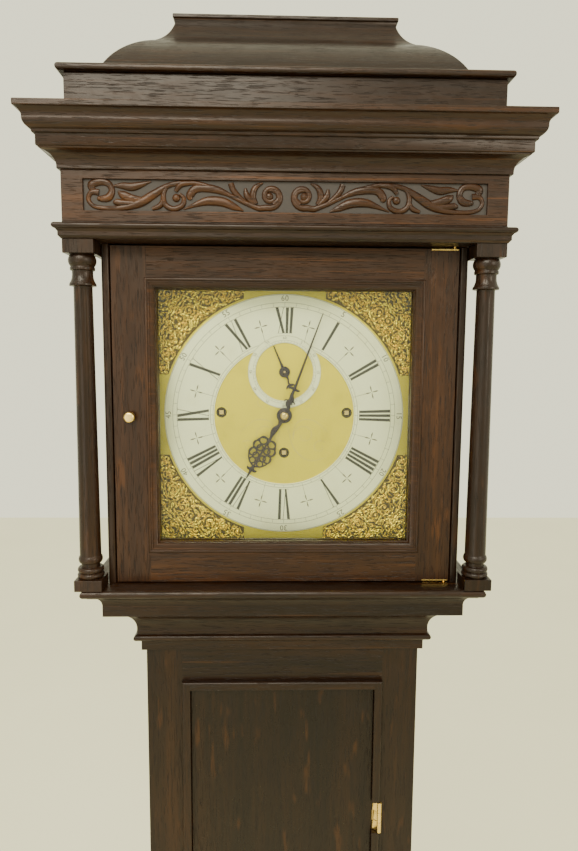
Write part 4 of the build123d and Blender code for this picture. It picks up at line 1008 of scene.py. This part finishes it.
# ---------------------------------------------------------------- dial
@dataclass
class Dial:
    """Square brass dial: silvered rings, engraved hours and minutes, and cast corners."""

    minute_low: float = 125.4
    minute_high: float = 130.2
    hour_low: float = 88.2
    hour_high: float = 124.6
    quarter_low: float = 83.2
    quarter_high: float = 86.4
    thick: float = 3.4
    thin: float = 0.6
    cut: float = 0.07
    serif: float = 1.9
    hair: float = 0.3
    foot: float = 0.80
    cross_radius: float = 106.0
    cross_reach: float = 7.8
    seconds_rings: tuple = (34.3, 36.6, 41.9)

    def __post_init__(self) -> None:
        """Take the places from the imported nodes."""
        plate_low, plate_high, _ = span("dial_plate")
        ring_low, ring_high, ring_middle = span("chapter_ring")
        self.centre_z = ring_middle.z
        self.ring_y = ring_low.y
        self.plate_y = plate_low.y
        self.radius = ring_high.x / MM
        self.half = plate_high.x / MM
        _, seconds_high, seconds_middle = span("seconds_ring")
        self.seconds_z = seconds_middle.z
        self.seconds_radius = seconds_high.x / MM
        self.seconds_rise = (self.seconds_z - self.centre_z) / MM

    def on_ring(self, turn: float = 0.0) -> Matrix:
        """Place on the face of the chapter ring, turned clockwise from the top."""
        return at(0.0, self.ring_y, self.centre_z, turn)

    def gap_at(self, radius: float) -> float:
        """Degrees each side of the top that the seconds ring covers at a radius."""
        rise, reach = self.seconds_rise, self.seconds_radius + 0.4
        cosine = (radius**2 + rise**2 - reach**2) / (2 * radius * rise)
        return math.degrees(math.acos(cosine)) if cosine < 1 else 0.0

    def numeral(self, shape: Shape, signs: str, turn: float) -> None:
        """Engrave one hour.

        Args:
            shape: the engraving.
            signs: the Roman numeral.
            turn: degrees clockwise from the top.
        """
        place = self.on_ring(turn)
        wide = {"I": 5.4, "V": 10.4, "X": 11.4}
        low = self.hour_low if turn else self.seconds_rise + self.seconds_radius + 2.2
        high = self.hour_high
        whole = sum(wide[s] for s in signs)
        left = -whole / 2
        for sign in signs:
            middle = left + wide[sign] / 2
            reach = wide[sign] / 2 - self.serif
            near, far = middle - reach, middle + reach
            strokes = {
                "I": ((middle, middle, self.thick * 0.86, self.thick),),
                "V": (
                    (middle, near, self.thick * 0.6, self.thick),
                    (middle, far, self.thin, self.thin),
                ),
                "X": (
                    (far, near, self.thick * 0.86, self.thick),
                    (near, far, self.thin, self.thin),
                ),
            }[sign]
            for foot, head, *widths in strokes:
                shape.bar((foot * self.foot, low), (head, high), widths, self.cut, place)
            for _, head, *_ in strokes:
                ends = (head - self.serif, high), (head + self.serif, high)
                shape.bar(*ends, (self.hair, self.hair), self.cut, place)
            left += wide[sign]
        ends = (-whole * 0.4, low), (whole * 0.4, low)
        shape.bar(*ends, (self.hair, self.hair), self.cut, place)

    def half_hour(self, shape: Shape, turn: float) -> None:
        """Engrave the cross that marks a half hour.

        Args:
            shape: the engraving.
            turn: degrees clockwise from the top.
        """
        place = self.on_ring(turn)
        middle = self.cross_radius
        for across, up in ((0, 1), (0, -1), (1, 0), (-1, 0)):
            near, mid, far = (
                (across * reach, middle + up * reach) for reach in (0.7, 5.2, self.cross_reach)
            )
            shape.bar(near, mid, (0.4, 1.5), self.cut, place)
            shape.bar(mid, far, (1.5, 0.4), self.cut, place)
        ends = (0.0, self.quarter_high), (0.0, middle - self.cross_reach)
        shape.bar(*ends, (self.hair, 0.4), self.cut, place)

    def small_number(
        self, shape: Shape, text: str, height: float, radius: float, place: Matrix
    ) -> None:
        """Engrave an upright figure on a ring.

        Args:
            shape: the engraving.
            text: the figures.
            height: their height in millimetres.
            radius: how far their middle stands from the ring's centre.
            place: the ring's place, turned to the figure.
        """
        letters = bpy.data.curves.new("figure", "FONT")
        letters.body = text
        letters.align_x = "CENTER"
        letters.align_y = "CENTER"
        letters.size = height * 1.3
        letters.extrude = 0.02
        letters.resolution_u = 2
        holder = add_object("figure", letters)
        bpy.context.view_layer.update()
        graph = bpy.context.evaluated_depsgraph_get()
        data = bpy.data.meshes.new_from_object(holder.evaluated_get(graph))
        part = bmesh.new()
        part.from_mesh(data)
        bmesh.ops.remove_doubles(part, verts=part.verts, dist=1e-4)
        stand = Matrix.Translation((0.0, -0.03, radius)) @ Matrix.Rotation(math.pi / 2, 4, "X")
        bpy.data.objects.remove(holder)
        bpy.data.meshes.remove(data)
        shape.absorb(part, place @ stand)

    def engrave(self) -> None:
        """Engrave the hours, half hours, minutes, quarters and figures."""
        wax = Plain("engravers_wax", (0.010, 0.009, 0.009), (0.030, 0.027, 0.025), 0.5)
        bold = Shape()
        hours = ("XII", "I", "II", "III", "IIII", "V", "VI", "VII", "VIII", "IX", "X", "XI")
        for hour, signs in enumerate(hours):
            self.numeral(bold, signs, 30.0 * hour)
        bold.finish("chapter_hours", wax.material(), "case")
        fine = Shape()
        for hour in range(12):
            self.half_hour(fine, 30.0 * hour + 15.0)
        flat = self.on_ring()
        for radius in (self.minute_low, self.minute_high, self.radius - 0.8):
            fine.hoop(radius, 0.36, flat)
        for radius in (self.quarter_low, self.quarter_high):
            fine.hoop(radius, 0.34, flat, self.gap_at(radius))
        hair = (self.hair, self.hair)
        for minute in range(60):
            place = self.on_ring(6.0 * minute)
            fine.bar((0, self.minute_low), (0, self.minute_high), hair, self.cut, place)
            if minute % 5 == 0:
                self.small_number(fine, str(minute or 60), 7.0, 135.0, place)
        for quarter in range(48):
            turn = 7.5 * quarter
            if min(turn, 360 - turn) > self.gap_at(self.quarter_low):
                ends = (0, self.quarter_low), (0, self.quarter_high)
                fine.bar(*ends, hair, self.cut, self.on_ring(turn))
        flat = at(0.0, self.ring_y, self.seconds_z)
        for radius in self.seconds_rings:
            fine.hoop(radius, 0.22, flat)
        inner, outer, _ = self.seconds_rings
        for second in range(60):
            place = at(0.0, self.ring_y, self.seconds_z, 6.0 * second)
            fine.bar((0, inner), (0, outer), (0.22, 0.22), self.cut, place)
            if second % 5 == 0:
                self.small_number(fine, str(second or 60), 3.4, 39.3, place)
        grey = Plain("worn_wax", (0.030, 0.026, 0.018), (0.12, 0.105, 0.07), 0.5)
        fine.finish("chapter_fine_lines", grey.material(), "case")

    def corner(self, shape: Shape, place: Matrix, chance: random.Random) -> None:
        """Crowded leaves and curls of one half of a cast corner.

        Args:
            shape: the casting.
            place: the dial's centre, turned and mirrored to this half corner.
            chance: seeded source of the caster's small irregularities.
        """
        rim = self.radius + 3.4
        outer = self.half - 3.6
        low = self.half * 0.31 + 1.0
        curls = []
        for along, size in ((0.90, 6.4), (0.74, 5.6), (0.60, 4.6), (0.475, 3.4), (0.37, 2.4)):
            across = outer * along
            floor = math.sqrt(max(rim**2 - across**2, 0.0)) if across < rim else 0.0
            middle = (across, max((floor + outer) / 2, across * 1.04))
            curls.append((middle, size))
            turn = chance.uniform(0, 360)
            way = 1 if len(curls) % 2 else -1
            curl = volute(middle, turn, way * 430.0, (size, size * 0.25), (1.5, 0.8))
            shape.sweep(curl, 1.9, place, 6)
            shape.dome(middle, size * 0.26, 2.2, place)
        step = 3.5
        count = int((outer - low) / step) + 1
        for row in range(int(outer / step) + 1):
            for column in range(count):
                x = low + (column + 0.5 * (row % 2)) * step + chance.uniform(-0.9, 0.9)
                y = outer - row * step * 0.86 + chance.uniform(-0.9, 0.9)
                if y < x - 1.5 or math.hypot(x, y) < rim + 1.0 or x > outer:
                    continue
                near = min(curls, key=lambda c: math.hypot(x - c[0][0], y - c[0][1]) - c[1])
                away = math.hypot(x - near[0][0], y - near[0][1])
                if away < near[1] * 0.85:
                    continue
                outward = math.atan2(y - near[0][1], x - near[0][0])
                angle = outward + math.pi / 2 + chance.uniform(-0.7, 0.7)
                reach, bend = chance.uniform(2.0, 3.4), chance.uniform(-0.9, 0.9)
                dx, dy = math.cos(angle), math.sin(angle)
                marks = (
                    (x - dx * reach, y - dy * reach, 0.4),
                    (x - dy * bend, y + dx * bend, chance.uniform(1.1, 1.8)),
                    (x + dx * reach, y + dy * reach, 0.5),
                )
                if all(
                    max(m[:2]) < outer + 1.2 and math.hypot(*m[:2]) > rim - 0.4 for m in marks
                ):
                    shape.sweep(smooth_line(marks, 2), chance.uniform(1.1, 2.1), place, 6)

    def build(self) -> None:
        """Cast the corners, scribe the middle and dress the plate and rings."""
        brass = Metal(
            "matted_dial_brass", (0.74, 0.60, 0.035), (0.46, 0.35, 0.025), 0.50,
            matted=0.9, stain=0.35,
        )
        worked("dial_plate", brass.material(), 0.0003)
        silver = Metal(
            "silvered_brass", (0.93, 0.91, 0.70), (0.74, 0.69, 0.44), 0.40,
            metallic=0.55, stain=0.35,
        )
        worked("chapter_ring", silver.material(), 0.0002)
        worked("seconds_ring", silver.material(), 0.0002)
        self.engrave()
        chance = random.Random(11)
        # The corner castings darken with depth as painted shade.
        gilt_with_painted_shade = Casting("gilded_casting_painted_shade", self.plate_y - 0.0006, self.plate_y - 0.0023)
        casting = Shape()
        tip = self.half * 0.31
        outer = self.half - 3.0
        rim = self.radius + 2.6
        for turn in range(4):
            for flip in (False, True):
                place = at(0.0, self.plate_y - 0.0007, self.centre_z, 90.0 * turn, flip)
                self.corner(casting, place, chance)
            outline = [(tip, outer), (outer, outer), (outer, tip)]
            first = math.asin(min(1.0, tip / rim))
            arc = [math.pi / 2 - first - i * (math.pi / 2 - 2 * first) / 24 for i in range(25)]
            outline += [(rim * math.cos(a), rim * math.sin(a)) for a in reversed(arc)]
            casting.plate(outline, 0.8, at(0.0, self.plate_y, self.centre_z, 90.0 * turn))
        casting.finish(
            "corner_castings", gilt_with_painted_shade.material(), "case", ("spandrels",), 60.0
        )
        self.scribe()

    def scribe(self) -> None:
        """Faint scrolls in the matted middle, and near-black turned rings round the winding holes that paint the
        shade inside them.
        """
        lines = Shape()
        for flip in (False, True):
            side = at(0.0, self.plate_y, self.centre_z, flip=flip)
            curls = (
                volute((24.0, -24.0), 200.0, -400.0, (14.0, 4.0), (0.45, 0.3)),
                volute((42.0, -38.0), 40.0, 360.0, (9.0, 3.0), (0.4, 0.3)),
                volute((26.0, 16.0), 250.0, 330.0, (7.0, 3.0), (0.35, 0.25)),
                smooth_line(
                    ((4.0, -14.0, 0.3), (12.0, -40.0, 0.5), (30.0, -54.0, 0.4), (50.0, -50.0, 0.25))
                ),
                smooth_line(
                    ((10.0, -24.0, 0.3), (16.0, -8.0, 0.45), (34.0, -6.0, 0.4), (52.0, -20.0, 0.25))
                ),
            )
            for curl in curls:
                lines.sweep(curl, 0.10, side, 6)
        scored = Metal("scored_brass", (0.62, 0.50, 0.15), (0.34, 0.25, 0.07), 0.42)
        lines.finish("dial_centre_scrolls", scored.material(), "case", crease=60.0)
        rings = Shape()
        section = [(4.5, 2.0), (5.2, 2.0), (5.2, -0.05), (6.2, -0.05), (5.9, -0.5), (4.5, -0.3)]
        for train in ("strike", "going", "chime"):
            pivot = JOINTS[train + "_winding"]["pos_m"]
            rings.turned(section, at(pivot[0], self.plate_y, pivot[2]))
        # Painted shade: the rings and their sleeves are near black so that the winding holes read as dark wells.
        dark = Metal("winding_hole_painted_shade", (0.06, 0.045, 0.02), (0.02, 0.015, 0.01), 0.35)
        rings.finish("winding_hole_painted_shade_rings", dark.material(), "case")


@dataclass
class Hands:
    """Fire-blued steel hands, filed and pierced."""

    hour_turn: float = 211.0
    minute_turn: float = 20.3
    seconds_turn: float = 337.0
    minute_reach: float = 126.0

    def build(self) -> None:
        """Make the three hands."""
        blue = Metal(
            "blued_steel", (0.030, 0.022, 0.034), (0.075, 0.045, 0.035), 0.34,
            metallic=0.85, stain=0.6,
        ).material()
        self.hour(blue)
        self.minute(blue)
        self.seconds(blue)

    def pose(self, node: str, pivot: str, turn: float) -> Matrix:
        """Place of a hand: its own depth, the middle of what it turns on, and its angle."""
        low, high, _ = span(node)
        centre = span(pivot)[2]
        return at(centre.x, (low.y + high.y) / 2, centre.z, turn)

    def hour(self, blue: bpy.types.Material) -> None:
        """Hour hand with a pierced rosette, cross and spear."""
        place = self.pose("hour_hand", "hour_wheel", self.hour_turn)
        hand = Shape()
        hand.turned([(4.25, 0.6), (9.0, 0.6), (9.0, -0.3), (8.4, -0.6), (4.25, -0.6)], place)
        neck = (
            (0, 8.0, 3.0), (-0.8, 13.0, 2.0), (0.6, 19.0, 3.4),
            (1.0, 24.0, 3.2), (0, 30.0, 1.6), (0, 34.0, 2.2),
        )
        hand.sweep(smooth_line(neck), 0.6, place)
        for side in (-1, 1):
            loops = (
                ((side * 5.6, 37.5), 4.6), ((side * 9.8, 45.0), 4.4), ((side * 4.6, 47.0), 3.6),
                ((side * 9.6, 55.0), 4.5), ((side * 4.4, 57.0), 3.5), ((side * 5.0, 64.0), 3.6),
            )
            for middle, radius in loops:
                ring = volute(middle, 90.0, 360.0, (radius, radius), (1.05, 1.05))
                hand.sweep(ring, 0.55, place, 6)
            rim = (
                (0, 33.0, 1.0), (side * 9.0, 35.5, 1.0), (side * 13.0, 44.0, 1.0),
                (side * 12.0, 51.0, 0.9), (side * 13.0, 58.0, 1.0), (side * 8.0, 66.0, 1.0),
                (0, 70.0, 1.2),
            )
            hand.sweep(smooth_line(rim, 4), 0.55, place, 6)
        hand.sweep([(0, 33.0, 1.0), (0, 50.0, 1.5), (0, 70.0, 1.2)], 0.55, place, 6)
        cross = (
            (-6.4, 73.0, 0.5), (-4.4, 74.6, 1.5), (0, 74.0, 2.2), (4.4, 74.6, 1.5), (6.4, 73.0, 0.5),
        )
        hand.sweep(smooth_line(cross), 0.6, place)
        hand.sweep([(0, 69.0, 1.6), (0, 74.0, 2.6), (0, 77.0, 1.7), (0, 88.0, 0.3)], 0.6, place)
        hand.finish(
            "hour_hand_pierced", blue, BODY_OF["hour_hand"], ("hour_hand",), 60.0
        )

    def minute(self, blue: bpy.types.Material) -> None:
        """Minute hand with a scrolled neck, small cross and long point."""
        place = self.pose("minute_hand", "hour_wheel", self.minute_turn)
        hand = Shape()
        hand.turned([(2.85, 0.6), (6.5, 0.6), (6.5, -0.3), (6.0, -0.6), (2.85, -0.6)], place)
        neck = (
            (0, 5.5, 2.4), (1.2, 10.0, 2.0), (-0.8, 15.0, 3.2),
            (1.0, 20.0, 3.4), (-0.4, 26.0, 2.0), (0, 32.0, 1.5),
        )
        hand.sweep(smooth_line(neck), 0.6, place)
        for side in (-1, 1):
            middle, start = (side * 3.6, 16.5), 90.0 - side * 90.0
            curl = volute(middle, start, side * 300.0, (2.6, 1.2), (0.9, 0.6))
            hand.sweep(curl, 0.5, place, 6)
        cross = (
            (-6.6, 31.6, 0.5), (-4.6, 33.4, 1.5), (0, 33.0, 1.6), (4.6, 32.6, 1.3), (6.6, 33.8, 0.5),
        )
        hand.sweep(smooth_line(cross), 0.55, place)
        hand.sweep(
            [(0, 31.0, 1.9), (0, 38.0, 1.45), (0, 80.0, 1.05), (0, self.minute_reach, 0.5)],
            0.55, place,
        )
        hand.finish(
            "minute_hand_filed", blue, BODY_OF["minute_hand"], ("minute_hand",), 60.0
        )

    def seconds(self, blue: bpy.types.Material) -> None:
        """Seconds hand with a disc and a crescent tail."""
        place = self.pose("seconds_hand", "seconds_ring", self.seconds_turn)
        hand = Shape()
        hand.turned([(1.2, 0.35), (6.4, 0.35), (6.4, -0.15), (5.9, -0.35), (1.2, -0.35)], place)
        hand.sweep([(0, 5.5, 1.8), (0, 12.0, 1.1), (0, 33.0, 0.6)], 0.32, place)
        tail = ((0, -5.5, 1.6), (0.8, -9.0, 1.0), (-0.6, -13.0, 0.9), (0, -16.5, 1.2))
        hand.sweep(smooth_line(tail), 0.32, place)
        moon = (
            (-5.6, -19.6, 0.4), (-3.4, -17.4, 1.2), (0, -16.6, 1.4), (3.4, -17.4, 1.2),
            (5.6, -19.6, 0.4),
        )
        hand.sweep(smooth_line(moon), 0.32, place)
        body = BODY_OF["seconds_hand"]
        hand.finish("seconds_hand_filed", blue, body, ("seconds_hand",), 60.0)


# ---------------------------------------------------------------- movement
@dataclass
class Movement:
    """Wheels, plates, barrels, weights, pendulum, bell and the gut that drives them."""

    gut: float = 0.8
    reach: float = 21.1
    knot: float = 2.6

    def dress(self) -> None:
        """Give every metal node its finish."""
        brass = Metal("polished_brass", (0.78, 0.56, 0.20), (0.42, 0.27, 0.09), 0.28).material()
        steel = Metal("filed_steel", (0.40, 0.40, 0.41), (0.16, 0.13, 0.11), 0.36).material()
        iron = Metal(
            "cast_iron", (0.085, 0.082, 0.08), (0.11, 0.05, 0.028), 0.56,
            metallic=0.75, matted=0.5,
        )
        bronze = Metal("bell_metal", (0.68, 0.50, 0.27), (0.34, 0.24, 0.13), 0.30).material()
        for node, slot in SLOT_OF.items():
            if slot == "brass":
                toothed = "wheel" in node or "barrel" in node or node == "cannon_pinion"
                worked(node, brass, 0.0 if toothed else 0.0003)
            elif slot == "steel":
                worked(node, steel, 0.0002)
            elif slot == "weight_iron":
                worked(node, iron.material(), 0.0003)
            elif slot == "bell_metal":
                worked(node, bronze, 0.0002)

    def lines(self) -> None:
        """Gut lines: upright strands, and a loop under its pulley that moves with the weight."""
        twisted = Plain("twisted_gut", (0.30, 0.20, 0.09), (0.62, 0.47, 0.26), 0.5, twist=180.0)
        gut = twisted.material()
        seat_low, seat_high, _ = span("seatboard")
        thick = (seat_high.z - seat_low.z) / MM
        for train in ("strike", "going", "chime"):
            line_low, _, _ = span(train + "_line")
            pivot = JOINTS[train + "_winding"]["pos_m"]
            axis_z = line_low.z + (self.reach + self.gut) * MM
            length = seat_low.z - axis_z
            under = at(pivot[0], pivot[1], axis_z)
            above = at(pivot[0], pivot[1], seat_low.z)
            hang = Shape()
            for side in (-1, 1):
                self.strand(hang, side, length / MM, under)
            strands = hang.finish(train + "_gut_strands", gut, "case", (train + "_line",))
            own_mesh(strands)
            loop = Shape()
            turns = (-math.pi * i / 24 for i in range(25))
            arc = [(self.reach * math.cos(a), self.reach * math.sin(a), self.gut) for a in turns]
            loop.sweep(arc, self.gut, under)
            loop.finish(train + "_gut_loop", gut, train + "_weight_body")
            upper = Shape()
            self.strand(upper, -1, (pivot[2] - seat_low.z) / MM, above)
            self.strand(upper, 1, thick + 3, above)
            upper.dome((self.reach, thick + self.knot), self.knot, self.knot, above)
            upper.finish(train + "_gut_upper", gut, "case")

    def strand(self, shape: Shape, side: int, rise: float, place: Matrix) -> None:
        """One upright strand of gut.

        Args:
            shape: what it joins.
            side: -1 for left, 1 for right.
            rise: its length in millimetres.
            place: the middle of its foot.
        """
        across = side * self.reach
        shape.sweep([(across, 0.0, self.gut), (across, rise, self.gut)], self.gut, place)

    def build(self) -> None:
        """Dress the movement and string it."""
        self.dress()
        self.lines()


# ---------------------------------------------------------------- room
@dataclass
class Studio:
    """Pale floor, soft light and the viewer's camera."""

    place: tuple[float, float, float] = (-0.0148, -0.8088, 1.7719)
    pitch: float = -6.609
    yaw: float = 1.527
    roll: float = 0.394
    focal: float = 27.83

    def light(
        self,
        name: str,
        where: Sequence[float],
        aim: Sequence[float],
        size: float,
        power: float,
        colour: Colour,
    ) -> None:
        """A soft square lamp.

        Args:
            name: its name.
            where, aim: its place and the point it faces.
            size: side of the square in metres.
            power: watts.
            colour: its tint.
        """
        data = bpy.data.lights.new(name, "AREA")
        data.size = size
        data.energy = power
        data.color = colour
        lamp = add_object(name, data)
        lamp.location = where
        lamp.rotation_euler = (Vector(aim) - Vector(where)).to_track_quat("-Z", "Y").to_euler()

    def build(self) -> None:
        """Set the floor, world, lamps and camera."""
        part = bmesh.new()
        bmesh.ops.create_grid(part, x_segments=2, y_segments=2, size=6.0)
        data = mesh_of(part, "floor")
        recipe = Recipe("pale_floor")
        tone = recipe.noise(recipe.place, 1.5, 3.0)
        pale = recipe.mix(tone, (0.86, 0.84, 0.64), (0.92, 0.90, 0.70))
        data.materials.append(recipe.surface({"Base Color": pale, "Roughness": tone * 0.1 + 0.6}))
        floor = add_object("floor", data)
        world = bpy.data.worlds.new("pale_room")
        world.use_nodes = True
        sky = world.node_tree.nodes["Background"]
        sky.inputs["Color"].default_value = (1.0, 0.97, 0.70, 1.0)
        sky.inputs["Strength"].default_value = 1.5
        bpy.context.scene.world = world
        aim = (0.0, 0.0, 1.7)
        self.light("ceiling_lamp", (-0.5, -1.6, 3.1), aim, 1.4, 70.0, (1.0, 0.93, 0.76))
        self.light("side_lamp", (1.9, -1.9, 2.3), aim, 1.1, 30.0, (1.0, 0.90, 0.72))
        self.light("low_lamp", (-1.5, -2.4, 1.2), (0.0, 0.0, 1.1), 1.6, 14.0, (1.0, 0.95, 0.84))
        data = bpy.data.cameras.new("viewer")
        data.sensor_fit = "VERTICAL"
        data.sensor_height = 36.0
        data.lens = self.focal
        data.clip_start = 0.05
        camera = add_object("viewer", data)
        turn = Matrix.Rotation(math.radians(-self.yaw), 4, "Z")
        tilt = Matrix.Rotation(math.radians(90.0 + self.pitch), 4, "X")
        lean = Matrix.Rotation(math.radians(self.roll), 4, "Z")
        camera.matrix_world = Matrix.Translation(self.place) @ turn @ tilt @ lean
        bpy.context.scene.camera = camera


def main() -> None:
    """Build the clock's looks in order."""
    Joinery().build()
    CarvedFrieze().build()
    HoodDoor().build()
    Dial().build()
    Hands().build()
    Movement().build()
    Studio().build()


if __name__ == "__main__":
    logging.basicConfig(level=logging.INFO, format="%(message)s")
    main()
